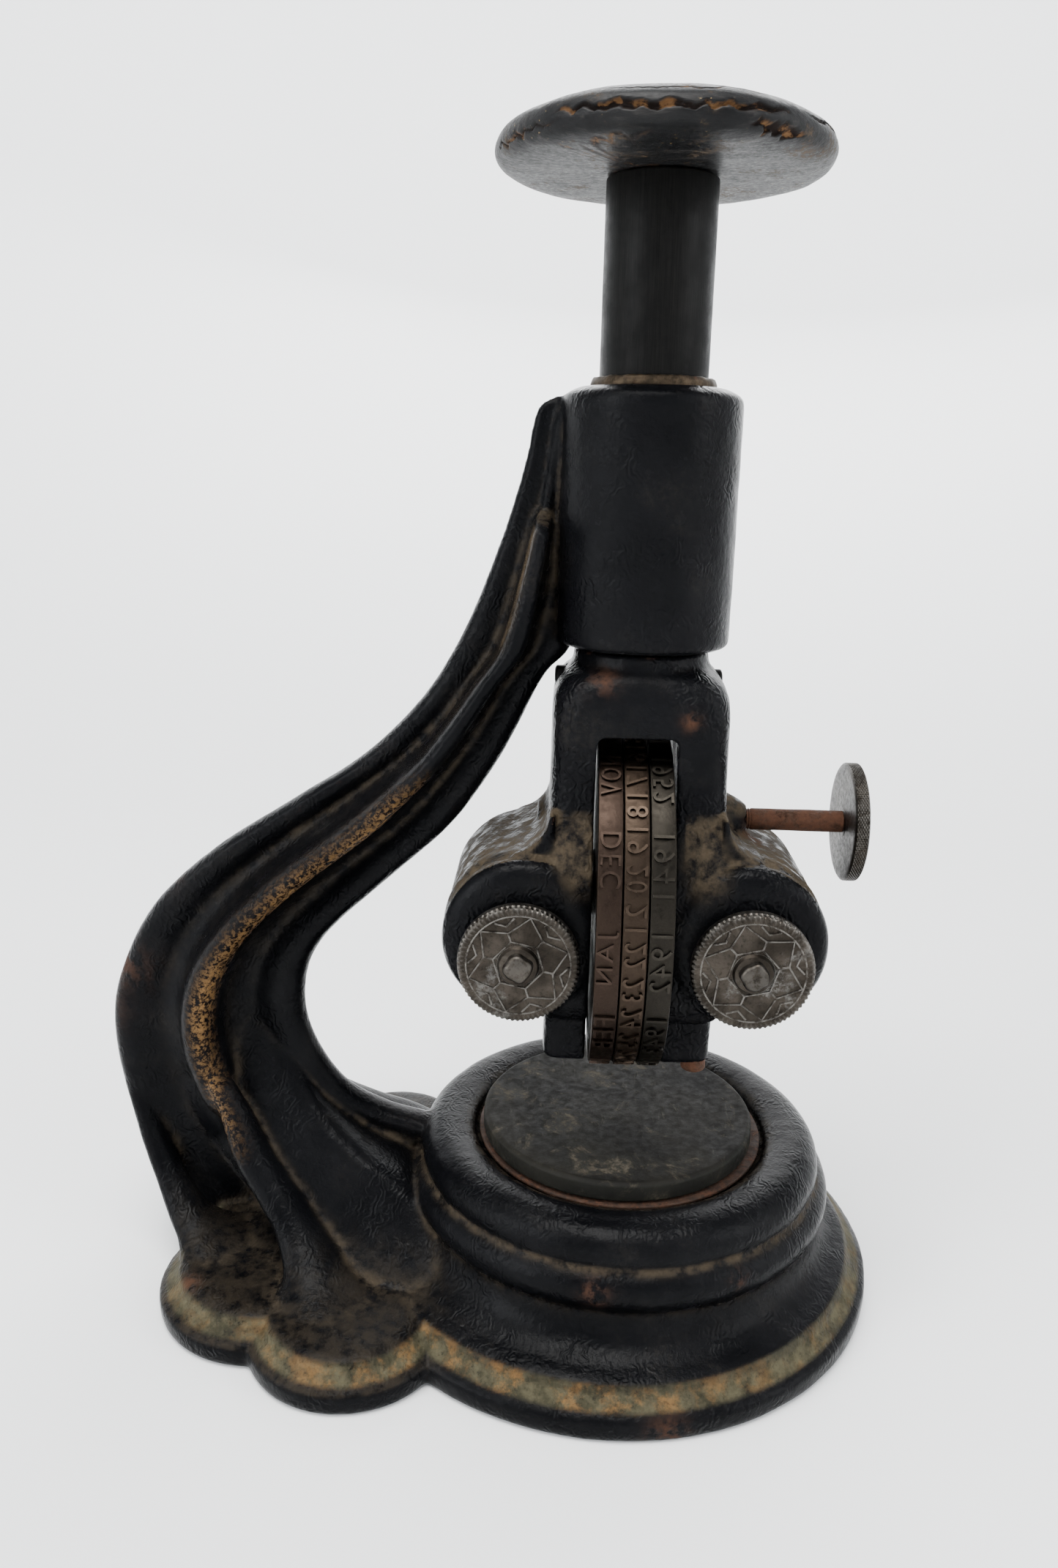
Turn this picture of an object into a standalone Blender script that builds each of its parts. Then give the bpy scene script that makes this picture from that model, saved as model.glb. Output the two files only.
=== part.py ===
"""Date stamping press: a cast frame, a sprung palm plunger and a die head with three type wheels.

Metres, +Z up. The plunger axis is the Z axis, the arm stands toward -X and the front faces -Y.
"""

import math

import bmesh
import bpy
import numpy as np
from mathutils import Matrix, Vector

MM = 0.001
GAP = 0.3 * MM

# Base
FLANGE_R = 57.3 * MM
FLANGE_X = -2.1 * MM
FLANGE_TOP = 4.6 * MM
BAND_TOP = 7.6 * MM
PAD_R = 28.9 * MM
PAD_X = -0.8 * MM
PAD_TOP = 35.8 * MM
UNDERLAY_R = 30.7 * MM
RECESS_R = 31.5 * MM
BASE_SIDES = 40
RECESS_FLOOR = 30.0 * MM
UNDERLAY_T = 0.9 * MM
LOBE_SIDES = 20
# Scallops of the base: (x, y, radius)
LOBES = [(-54.2, -33.4, 20.7), (-54.2, 33.4, 20.7), (-73.1, -20.0, 23.2), (-73.1, 20.0, 23.2),
         (-80.0, 0.0, 13.6)]

# Barrel, bushes and plunger
BARREL_R = 17.0 * MM
BARREL_BOTTOM = 137.4 * MM
BARREL_TOP = 185.4 * MM
BORE_R = 12.1 * MM
BUSH_R = BORE_R - GAP
SHAFT_R = 10.15 * MM
STEM_R = 7.5 * MM
STEM_BOTTOM = 124.0 * MM
SHOULDER = 172.6 * MM
SHAFT_TOP = 220.9 * MM
LOWER_BUSH_TOP = 145.6 * MM
UPPER_BUSH_BOTTOM = 175.0 * MM
UPPER_BUSH_TOP = 187.3 * MM
GUIDE_Z = 141.6 * MM
GUIDE_R = 2.0 * MM
STROKE = 14.0 * MM
SPRING_WIRE_R = 0.75 * MM
SPRING_MEAN_R = 8.95 * MM
SPRING_TURNS = 6

# Palm knob
KNOB_R = 30.3 * MM
KNOB_TOP = 233.0 * MM
STUD_R = 4.0 * MM
STUD_BOTTOM = 206.4 * MM
STUD_TOP = 228.0 * MM

# Die head
SLOT_LEFT = -8.5 * MM
SLOT_RIGHT = 7.0 * MM
SLOT_TOP = 120.4 * MM
STEM_HOLE_BOTTOM = 123.6 * MM
HEAD_PIN_Z = 131.0 * MM
HEAD_PIN_R = 1.9 * MM
HEAD_PIN_HALF = 17.0 * MM
DIE_PIN_X = 14.1 * MM
DIE_PIN_Y = -10.3 * MM
DIE_PIN_R = 2.6 * MM
DIE_PIN_BOTTOM = 50.8 * MM
DIE_PIN_TOP = 60.7 * MM
DRUM_X = 21.3 * MM
DRUM_Z = 83.0 * MM
DRUM_R = 16.2 * MM
DRUM_FRONT = -24.0 * MM
DRUM_BACK = 15.5 * MM
SPOOL_X = 22.0 * MM
SPOOL_Z = 80.4 * MM
SPINDLE_R = 2.2 * MM
SPOOL_R = 10.9 * MM
SPOOL_CORE_R = 3.6 * MM
SPOOL_KNOB_R = 11.65 * MM
BOSS_R = 3.9 * MM
BOSS_END = 24.2 * MM

# Type wheels
WHEEL_Z = 85.2 * MM
WHEEL_R = 35.0 * MM
WHEEL_W = 4.55 * MM
WHEEL_PITCH = WHEEL_W + GAP
WHEEL_FIRST = -5.62 * MM
AXLE_R = 4.6 * MM

# Lock
LOCK_Z = 102.2 * MM
LOCK_R = 2.25 * MM
LOCK_KNOB_R = 12.15 * MM
LOCK_KNOB_X = 42.6 * MM
KNOB_T = 2.9 * MM
SHOE_R = 5.1 * MM

# Arm: (x, z) of its outer and inner edges from the barrel to the foot
ARM_OUTER = [(-19.0, 184.2), (-21.8, 180.0), (-23.6, 172.0), (-26.8, 161.5), (-33.4, 143.5),
             (-41.5, 128.6), (-53.6, 115.0), (-69.9, 103.8), (-86.7, 92.6), (-100.8, 79.2),
             (-109.0, 63.0), (-111.3, 50.0), (-109.0, 34.0), (-103.6, 19.0), (-97.6, 8.5),
             (-93.0, 1.0)]
ARM_INNER = [(-1.0, 181.0), (-1.0, 175.0), (-2.0, 165.0), (-5.5, 152.0), (-13.6, 137.6),
             (-19.6, 130.4), (-27.7, 113.4), (-37.9, 98.7), (-53.5, 84.2), (-65.3, 72.0),
             (-68.8, 61.0), (-67.2, 50.0), (-60.4, 39.1), (-49.8, 30.9), (-42.0, 20.0),
             (-38.0, 6.0)]
ARM_STATIONS = 20

JAPAN = (0.012, 0.013, 0.015)
BRONZE = (0.20, 0.11, 0.06)


def material(name, colour, roughness, metallic):
    made = bpy.data.materials.new(name)
    made.use_nodes = True
    shader = made.node_tree.nodes["Principled BSDF"]
    shader.inputs["Base Color"].default_value = (*colour, 1.0)
    shader.inputs["Roughness"].default_value = roughness
    shader.inputs["Metallic"].default_value = metallic
    made.diffuse_color = (*colour, 1.0)
    return made


def new_object(name, bm, look=None, helper=False, smooth=True):
    """A mesh object with its faces turned outward."""
    bmesh.ops.recalc_face_normals(bm, faces=bm.faces)
    mesh = bpy.data.meshes.new(name)
    bm.to_mesh(mesh)
    bm.free()
    made = bpy.data.objects.new(name, mesh)
    bpy.context.scene.collection.objects.link(made)
    if look:
        made.data.materials.append(look)
    if helper:
        made.hide_render = True
        made.display_type = "WIRE"
    if smooth:
        mesh.shade_smooth()
        mesh.set_sharp_from_angle(angle=math.radians(35))
    return made


def rings_mesh(rings):
    """A skin through rings of equally many points; each end is closed by one face."""
    bm = bmesh.new()
    rows = [[bm.verts.new(point) for point in ring] for ring in rings]
    count = len(rows[0])
    for lower, upper in zip(rows, rows[1:]):
        for i in range(count):
            j = (i + 1) % count
            bm.faces.new((lower[i], lower[j], upper[j], upper[i]))
    bm.faces.new(rows[0])
    bm.faces.new(rows[-1])
    return bm


def turned(profile, segments, centre=(0.0, 0.0), axis="Z"):
    """A solid of revolution. The profile is (radius, height) from one end to the other, off the axis."""
    rings = []
    for radius, height in profile:
        ring = []
        for i in range(segments):
            angle = 2 * math.pi * (i + 0.37) / segments
            a = radius * math.cos(angle)
            b = radius * math.sin(angle)
            if axis == "Z":
                ring.append((centre[0] + a, centre[1] + b, height))
            elif axis == "Y":
                ring.append((centre[0] + a, height, centre[1] + b))
            else:
                ring.append((height, centre[0] + a, centre[1] + b))
        rings.append(ring)
    return rings_mesh(rings)


def box(low, high):
    bm = bmesh.new()
    bmesh.ops.create_cube(bm, size=1.0)
    size = Vector(high) - Vector(low)
    middle = (Vector(high) + Vector(low)) / 2
    bmesh.ops.transform(bm, matrix=Matrix.Translation(middle) @ Matrix.Diagonal((*size, 1.0)), verts=bm.verts)
    return bm


def combine(target, others, operation):
    """Joins or cuts the helper objects and leaves the finished mesh on the target."""
    for other in others:
        step = target.modifiers.new(operation, "BOOLEAN")
        step.operation = operation
        step.solver = "EXACT"
        step.object = other
    graph = bpy.context.evaluated_depsgraph_get()
    mesh = bpy.data.meshes.new_from_object(target.evaluated_get(graph))
    target.modifiers.clear()
    target.data = mesh
    for other in others:
        bpy.data.objects.remove(other)


def finish(target, limit=30):
    """Merges the flat facets that Booleans leave and shades the round faces smooth."""
    bm = bmesh.new()
    bm.from_mesh(target.data)
    bmesh.ops.remove_doubles(bm, verts=bm.verts, dist=0.00001)
    bmesh.ops.dissolve_degenerate(bm, edges=bm.edges, dist=0.00001)
    bm.to_mesh(target.data)
    bm.free()
    target.data.shade_smooth()
    target.data.set_sharp_from_angle(angle=math.radians(limit))


def pivot(target, point):
    """Moves the object's origin to a point on its joint axis and leaves its shape where it is."""
    offset = Vector(point)
    target.data.transform(Matrix.Translation(-offset))
    target.location = offset


def attach(piece, shaft, point):
    """Hangs a piece on the plunger, with its origin at a point on its own joint axis."""
    pivot(piece, point)
    piece.parent = shaft
    piece.matrix_parent_inverse = Matrix.Translation((0.0, 0.0, -SHAFT_TOP))


def smooth_line(points, count):
    """Equally spaced points on a Catmull-Rom curve through the given points."""
    knots = np.array(points, float)
    padded = np.vstack([2 * knots[0] - knots[1], knots, 2 * knots[-1] - knots[-2]])
    dense = []
    for i in range(len(knots) - 1):
        a, b, c, d = padded[i:i + 4]
        for t in np.linspace(0, 1, 12, endpoint=False):
            dense.append(0.5 * (2 * b + (c - a) * t + (2 * a - 5 * b + 4 * c - d) * t**2
                                + (3 * b - a - 3 * c + d) * t**3))
    dense.append(knots[-1])
    dense = np.array(dense)
    along = np.concatenate([[0], np.cumsum(np.linalg.norm(np.diff(dense, axis=0), axis=1))])
    wanted = np.linspace(0, along[-1], count)
    return np.stack([np.interp(wanted, along, dense[:, k]) for k in (0, 1)], 1)


def lobe(x, y, radius):
    """One scallop of the base: a flange, a sloping band and a low dome."""
    profile = [(radius, 0.0), (radius, FLANGE_TOP), (radius - 4 * MM, BAND_TOP),
               (radius - 7 * MM, 9.2 * MM), (radius * 0.25, 11.4 * MM)]
    return new_object("lobe_helper", turned(profile, LOBE_SIDES, (x, y)), helper=True)


def base_solid(look):
    """The round base: its flange stands a little toward the arm, its rings are on the plunger axis."""
    profile = [(FLANGE_R, 0.0, FLANGE_X), (FLANGE_R, FLANGE_TOP, FLANGE_X),
               (52.8 * MM, BAND_TOP, FLANGE_X), (48.0 * MM, 9.8 * MM, -1.6 * MM),
               (44.8 * MM, 12.6 * MM, -0.8 * MM), (43.4 * MM, 17.0 * MM, 0.0),
               (45.3 * MM, 19.0 * MM, 0.0), (45.2 * MM, 22.4 * MM, 0.0), (42.3 * MM, 25.0 * MM, 0.0),
               (42.8 * MM, 27.8 * MM, 0.0), (40.6 * MM, 31.6 * MM, 0.0), (37.0 * MM, 32.9 * MM, 0.0),
               (RECESS_R, 31.8 * MM, 0.0), (RECESS_R, RECESS_FLOOR, 0.0)]
    rings = []
    for radius, height, shift in profile:
        ring = []
        for i in range(BASE_SIDES):
            angle = 2 * math.pi * i / BASE_SIDES
            ring.append((shift + radius * math.cos(angle), radius * math.sin(angle), height))
        rings.append(ring)
    return new_object("frame_casting", rings_mesh(rings), look)


def arm_section(outer, inner, along):
    """The arm's cross section: a web with a bead on each edge and a rib on each side, as (u, v) points."""
    half = np.linalg.norm(outer - inner) / 2
    foot = max(0.0, along - 0.80) / 0.20
    top = max(0.0, 0.22 - along) / 0.22
    bead = min((3.1 + 1.5 * min(1.0, along * 2.2)) * MM, 0.25 * half)
    web = (3.6 + 2.0 * foot) * MM
    rib = (10.5 + 4.5 * math.sin(math.pi * min(1.0, along * 1.1)) + 17.0 * foot**2 + 2.5 * top) * MM
    crest = min((2.3 + 1.6 * min(1.0, along * 2)) * MM, 0.20 * half)
    side = [(half, 0.0), (half - 0.4 * bead, 0.85 * bead), (half - 1.3 * bead, bead),
            (half - 1.9 * bead, 0.5 * web), (crest * 1.9, 0.5 * web), (crest, rib - 0.8 * crest),
            (0.4 * crest, rib)]
    half_loop = side + [(-u, v) for u, v in reversed(side)]
    return half_loop + [(u, -v) for u, v in reversed(half_loop[1:-1])]


def arm_solid():
    outer_line = smooth_line(ARM_OUTER, ARM_STATIONS) * MM
    inner_line = smooth_line(ARM_INNER, ARM_STATIONS) * MM
    rings = []
    for k in range(ARM_STATIONS):
        outer = outer_line[k]
        inner = inner_line[k]
        middle = (outer + inner) / 2
        across = (outer - inner) / np.linalg.norm(outer - inner)
        section = arm_section(outer, inner, k / (ARM_STATIONS - 1))
        ring = []
        for u, v in section:
            point = middle + across * u
            ring.append((point[0], v, point[1]))
        rings.append(ring)
    return new_object("arm_helper", rings_mesh(rings), helper=True)


def frame_casting(look):
    casting = base_solid(look)
    joined = [lobe(x * MM, y * MM, radius * MM) for x, y, radius in LOBES]
    middle = [(30.0 * MM, 0.0), (30.0 * MM, 8.0 * MM), (21.0 * MM, 11.0 * MM)]
    joined.append(new_object("foot_helper", turned(middle, LOBE_SIDES, (-60.0 * MM, 0.0)), helper=True))
    joined.append(arm_solid())
    barrel = [(BARREL_R - 1.5 * MM, BARREL_BOTTOM), (BARREL_R, BARREL_BOTTOM + 1.5 * MM),
              (BARREL_R, BARREL_TOP - 2.4 * MM), (BARREL_R - 0.8 * MM, BARREL_TOP - 0.8 * MM),
              (BARREL_R - 2.6 * MM, BARREL_TOP)]
    joined.append(new_object("barrel_helper", turned(barrel, 32), helper=True))
    combine(casting, joined, "UNION")
    bore = new_object("bore_helper", turned([(BORE_R, 130 * MM), (BORE_R, 200 * MM)], 24), helper=True)
    screw_hole = turned([(GUIDE_R + GAP, 10 * MM), (GUIDE_R + GAP, 40 * MM)], 12, (0.0, GUIDE_Z), "Y")
    below = box((-150 * MM, -90 * MM, -20 * MM), (90 * MM, 90 * MM, 0.0))
    combine(casting, [bore, new_object("hole_helper", screw_hole, helper=True),
                      new_object("below_helper", below, helper=True)], "DIFFERENCE")
    finish(casting)


def pad_pieces(rubber, brass):
    underlay_bottom = RECESS_FLOOR + GAP
    underlay_top = underlay_bottom + UNDERLAY_T
    new_object("pad_underlay", turned([(UNDERLAY_R, underlay_bottom), (UNDERLAY_R, underlay_top)], 32), brass)
    pad_bottom = underlay_top + GAP
    profile = [(PAD_R, pad_bottom), (PAD_R, PAD_TOP - 0.5 * MM), (PAD_R - 0.5 * MM, PAD_TOP)]
    new_object("impression_pad", turned(profile, 32, (PAD_X, 0.0)), rubber)


def tube(outer, inner, low, high, segments, centre=(0.0, 0.0), axis="Z"):
    """A plain tube as one closed skin."""
    bm = turned([(outer, low), (outer, high), (inner, high), (inner, low)], segments, centre, axis)
    ends = [face for face in bm.faces if len(face.verts) == segments]
    bmesh.ops.delete(bm, geom=ends, context="FACES_ONLY")
    rims = [edge for edge in bm.edges if len(edge.link_faces) == 1]
    bmesh.ops.bridge_loops(bm, edges=rims)
    return bm


def bushes(bronze, steel):
    upper = tube(BUSH_R, SHAFT_R + GAP, UPPER_BUSH_BOTTOM, UPPER_BUSH_TOP, 24)
    new_object("upper_bush", upper, bronze)
    lower = new_object("lower_bush", tube(BUSH_R, STEM_R + GAP, BARREL_BOTTOM + 0.2 * MM, LOWER_BUSH_TOP, 24),
                       bronze)
    hole = turned([(GUIDE_R + GAP, 3 * MM), (GUIDE_R + GAP, 20 * MM)], 12, (0.0, GUIDE_Z), "Y")
    combine(lower, [new_object("hole_helper", hole, helper=True)], "DIFFERENCE")
    finish(lower)
    profile = [(1.2 * MM, 6.4 * MM), (1.2 * MM, 8.2 * MM), (GUIDE_R, 8.2 * MM), (GUIDE_R, 17.3 * MM),
               (3.4 * MM, 17.3 * MM), (3.4 * MM, 18.6 * MM), (2.8 * MM, 19.3 * MM)]
    screw = new_object("guide_screw", turned(profile, 12, (0.0, GUIDE_Z), "Y"), steel)
    slot = box((-4 * MM, 18.5 * MM, GUIDE_Z - 0.4 * MM), (4 * MM, 21 * MM, GUIDE_Z + 0.4 * MM))
    combine(screw, [new_object("slot_helper", slot, helper=True)], "DIFFERENCE")
    finish(screw)


def plunger_shaft(steel):
    profile = [(STEM_R - 0.6 * MM, STEM_BOTTOM), (STEM_R, STEM_BOTTOM + 0.6 * MM), (STEM_R, SHOULDER),
               (SHAFT_R - 0.5 * MM, SHOULDER), (SHAFT_R, SHOULDER + 0.5 * MM), (SHAFT_R, SHAFT_TOP)]
    shaft = new_object("plunger_shaft", turned(profile, 24), steel)
    keyway = box((-1.5 * MM, 6.1 * MM, GUIDE_Z - 2.2 * MM), (1.5 * MM, 12 * MM, GUIDE_Z + STROKE + 2.2 * MM))
    stud_hole = turned([(STUD_R + GAP, 206 * MM), (STUD_R + GAP, 230 * MM)], 16)
    pin_hole = turned([(HEAD_PIN_R + GAP, -20 * MM), (HEAD_PIN_R + GAP, 20 * MM)], 12, (0.0, HEAD_PIN_Z), "X")
    combine(shaft, [new_object("keyway_helper", keyway, helper=True),
                    new_object("stud_hole_helper", stud_hole, helper=True),
                    new_object("pin_hole_helper", pin_hole, helper=True)], "DIFFERENCE")
    finish(shaft)
    pivot(shaft, (0.0, 0.0, SHAFT_TOP))
    return shaft


def palm_knob(wood, steel, shaft):
    profile = [(12.0 * MM, SHAFT_TOP + GAP), (20.0 * MM, 221.5 * MM), (27.0 * MM, 222.2 * MM),
               (KNOB_R, 224.0 * MM), (29.2 * MM, 226.3 * MM), (24.6 * MM, 228.6 * MM),
               (15.0 * MM, 231.3 * MM), (3.0 * MM, KNOB_TOP)]
    knob = new_object("palm_knob", turned(profile, 36), wood)
    hole = turned([(STUD_R + GAP, 210 * MM), (STUD_R + GAP, STUD_TOP + GAP)], 16)
    combine(knob, [new_object("stud_hole_helper", hole, helper=True)], "DIFFERENCE")
    finish(knob)
    stud_profile = [(STUD_R - 0.6 * MM, STUD_BOTTOM), (STUD_R, STUD_BOTTOM + 0.6 * MM),
                    (STUD_R, STUD_TOP - 0.6 * MM), (STUD_R - 0.6 * MM, STUD_TOP)]
    stud = new_object("knob_stud", turned(stud_profile, 16), steel)
    for piece in (knob, stud):
        attach(piece, shaft, (0.0, 0.0, SHAFT_TOP))


def return_spring(steel):
    """A closed coil of round wire between the lower bush and the plunger's shoulder."""
    wire = SPRING_WIRE_R
    mean = SPRING_MEAN_R
    turns = SPRING_TURNS
    low = LOWER_BUSH_TOP + GAP + wire
    high = SHOULDER - GAP - wire
    closed = 0.75
    closed_pitch = 2.05 * wire
    total = 9 * turns
    rings = []
    for i in range(total + 1):
        t = i / total
        angle = 2 * math.pi * turns * t
        ease = min(1.0, max(0.0, (t * turns - closed) / (turns - 2 * closed)))
        ends = min(t * turns, closed) + max(0.0, t * turns - turns + closed)
        height = low + closed_pitch * ends + (high - low - 2 * closed * closed_pitch) * ease
        out = Vector((math.cos(angle), math.sin(angle), 0.0))
        ring = []
        for k in range(6):
            turn = 2 * math.pi * k / 6
            ring.append(out * (mean + wire * math.cos(turn)) + Vector((0, 0, height + wire * math.sin(turn))))
        rings.append(ring)
    new_object("return_spring", rings_mesh(rings), steel)


def head_ring(half_x, front, back, height, power, count=28):
    """A rounded rectangle at one height; a higher power has squarer corners."""
    ring = []
    for i in range(count):
        angle = 2 * math.pi * (i + 0.5) / count
        c = math.cos(angle)
        s = math.sin(angle)
        scale = (abs(c) ** power + abs(s) ** power) ** (-1 / power)
        y = s * scale
        ring.append((half_x * c * scale, y * (back if y > 0 else front), height))
    return ring


def die_head(look, steel, shaft):
    shape = [(16.9, 13.4, 13.4, 53.3, 14), (17.2, 14.0, 14.0, 54.2, 14), (17.2, 14.0, 14.0, 63.6, 14),
             (17.5, 22.0, 16.8, 66.6, 14), (17.6, 22.6, 17.0, 92.0, 12), (17.4, 20.6, 17.0, 101.0, 9),
             (17.2, 17.0, 17.0, 112.0, 7), (17.2, 16.8, 16.8, 127.0, 6), (16.4, 15.8, 15.8, 130.6, 4),
             (13.5, 13.5, 13.5, 134.0, 2.1), (13.3, 13.3, 13.3, 136.3, 2), (12.7, 12.7, 12.7, 136.9, 2)]
    rings = [head_ring(x * MM, f * MM, b * MM, z * MM, power) for x, f, b, z, power in shape]
    head = new_object("die_head", rings_mesh(rings), look)
    joined = []
    for side in (-1, 1):
        drum = [(DRUM_R - 3.2 * MM, DRUM_FRONT), (DRUM_R - 0.9 * MM, DRUM_FRONT + 0.8 * MM),
                (DRUM_R, DRUM_FRONT + 3.0 * MM), (DRUM_R, DRUM_BACK)]
        joined.append(new_object("drum_helper", turned(drum, 28, (side * DRUM_X, DRUM_Z), "Y"), helper=True))
        boss = [(BOSS_R, side * 10 * MM), (BOSS_R, side * (BOSS_END - 0.6 * MM)),
                (BOSS_R - 0.6 * MM, side * BOSS_END)]
        joined.append(new_object("boss_helper", turned(boss, 16, (0.0, LOCK_Z), "X"), helper=True))
        saddle = box((min(side * 12, side * 22.5) * MM, -4.5 * MM, 92 * MM),
                     (max(side * 12, side * 22.5) * MM, 4.5 * MM, 101 * MM))
        joined.append(new_object("saddle_helper", saddle, helper=True))
    combine(head, joined, "UNION")
    cuts = [box((SLOT_LEFT, -40 * MM, 40 * MM), (SLOT_RIGHT, 40 * MM, SLOT_TOP)),
            turned([(WHEEL_R + 0.9 * MM, SLOT_LEFT), (WHEEL_R + 0.9 * MM, SLOT_RIGHT)], 40, (0.0, WHEEL_Z), "X"),
            turned([(STEM_R + GAP, STEM_HOLE_BOTTOM), (STEM_R + GAP, 150 * MM)], 24),
            turned([(HEAD_PIN_R + GAP, -30 * MM), (HEAD_PIN_R + GAP, 30 * MM)], 12, (0.0, HEAD_PIN_Z), "X"),
            turned([(AXLE_R + GAP, -30 * MM), (AXLE_R + GAP, 15.0 * MM)], 20, (0.0, WHEEL_Z), "X"),
            turned([(LOCK_R + GAP, 5 * MM), (LOCK_R + GAP, 30 * MM)], 16, (0.0, LOCK_Z), "X"),
            turned([(SHOE_R + GAP, 5 * MM), (SHOE_R + GAP, 9.6 * MM)], 16, (0.0, LOCK_Z), "X"),
            turned([(DIE_PIN_R + GAP, 48 * MM), (DIE_PIN_R + GAP, DIE_PIN_TOP + GAP)], 16,
                   (DIE_PIN_X, DIE_PIN_Y))]
    for side in (-1, 1):
        cuts.append(turned([(DRUM_R - 2.4 * MM, DRUM_FRONT + 3.2 * MM), (DRUM_R - 2.4 * MM, 30 * MM)], 28,
                           (side * DRUM_X, DRUM_Z), "Y"))
        cuts.append(turned([(SPINDLE_R + 0.5 * MM, -40 * MM), (SPINDLE_R + 0.5 * MM, 0.0)], 12,
                           (side * SPOOL_X, SPOOL_Z), "Y"))
        cuts.append(box((min(side * 18.4, side * 26) * MM, -19 * MM, 60 * MM),
                        (max(side * 18.4, side * 26) * MM, 18 * MM, 76 * MM)))
    combine(head, [new_object("cut_helper", bm, helper=True) for bm in cuts], "DIFFERENCE")
    finish(head)
    pin = turned([(HEAD_PIN_R - 0.4 * MM, -HEAD_PIN_HALF), (HEAD_PIN_R, 0.4 * MM - HEAD_PIN_HALF),
                  (HEAD_PIN_R, HEAD_PIN_HALF - 0.4 * MM), (HEAD_PIN_R - 0.4 * MM, HEAD_PIN_HALF)],
                 12, (0.0, HEAD_PIN_Z), "X")
    axle = turned([(AXLE_R - 0.5 * MM, -17.2 * MM), (AXLE_R, -16.7 * MM), (AXLE_R, 14.7 * MM)], 20,
                  (0.0, WHEEL_Z), "X")
    die_pin = turned([(DIE_PIN_R - 0.4 * MM, DIE_PIN_BOTTOM), (DIE_PIN_R, DIE_PIN_BOTTOM + 0.4 * MM),
                      (DIE_PIN_R, DIE_PIN_TOP)], 16, (DIE_PIN_X, DIE_PIN_Y))
    pieces = [head, new_object("head_pin", pin, steel), new_object("wheel_axle", axle, steel),
              new_object("die_pin", die_pin, steel)]
    for piece in pieces:
        attach(piece, shaft, (0.0, 0.0, SHAFT_TOP))


def type_wheel(name, index, fields, share, look, shaft):
    """A wheel with one raised field of type for each entry and a groove between the fields."""
    middle = WHEEL_FIRST + index * WHEEL_PITCH
    low = middle - WHEEL_W / 2
    high = middle + WHEEL_W / 2
    root = WHEEL_R - 1.0 * MM
    rim = []
    for k in range(fields):
        start = 2 * math.pi * k / fields
        span = 2 * math.pi / fields
        steps = 3 if fields < 20 else 1
        gap = span * (1 - share) / 2
        rim.append((root, start + gap * 0.5))
        for j in range(steps + 1):
            rim.append((WHEEL_R, start + gap + (span - 2 * gap) * j / steps))
        rim.append((root, start + span - gap * 0.5))
    count = len(rim)
    rings = []
    for x in (low, high):
        rings.append([(x, r * math.cos(a), WHEEL_Z + r * math.sin(a)) for r, a in rim])
    bore = AXLE_R + GAP
    for x in (high, low):
        rings.append([(x, bore * math.cos(a), WHEEL_Z + bore * math.sin(a)) for _, a in rim])
    bm = bmesh.new()
    rows = [[bm.verts.new(point) for point in ring] for ring in rings]
    for lower, upper in zip(rows, rows[1:] + rows[:1]):
        for i in range(count):
            j = (i + 1) % count
            bm.faces.new((lower[i], lower[j], upper[j], upper[i]))
    wheel = new_object(name, bm, look)
    attach(wheel, shaft, (middle, 0.0, WHEEL_Z))


def knurled_disc(radius, low, high, centre, axis, teeth=40):
    """A disc with a finely toothed rim and a narrow bevel at both faces."""
    rings = []
    for height, shrink in ((low, 0.5 * MM), (low + 0.4 * MM, 0.0), (high - 0.4 * MM, 0.0), (high, 0.5 * MM)):
        ring = []
        for i in range(teeth):
            angle = 2 * math.pi * i / teeth
            r = radius - shrink - (0.35 * MM if i % 2 and not shrink else 0.0)
            a = r * math.cos(angle)
            b = r * math.sin(angle)
            if axis == "Y":
                ring.append((centre[0] + a, height, centre[1] + b))
            else:
                ring.append((height, centre[0] + a, centre[1] + b))
        rings.append(ring)
    return rings_mesh(rings)


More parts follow.
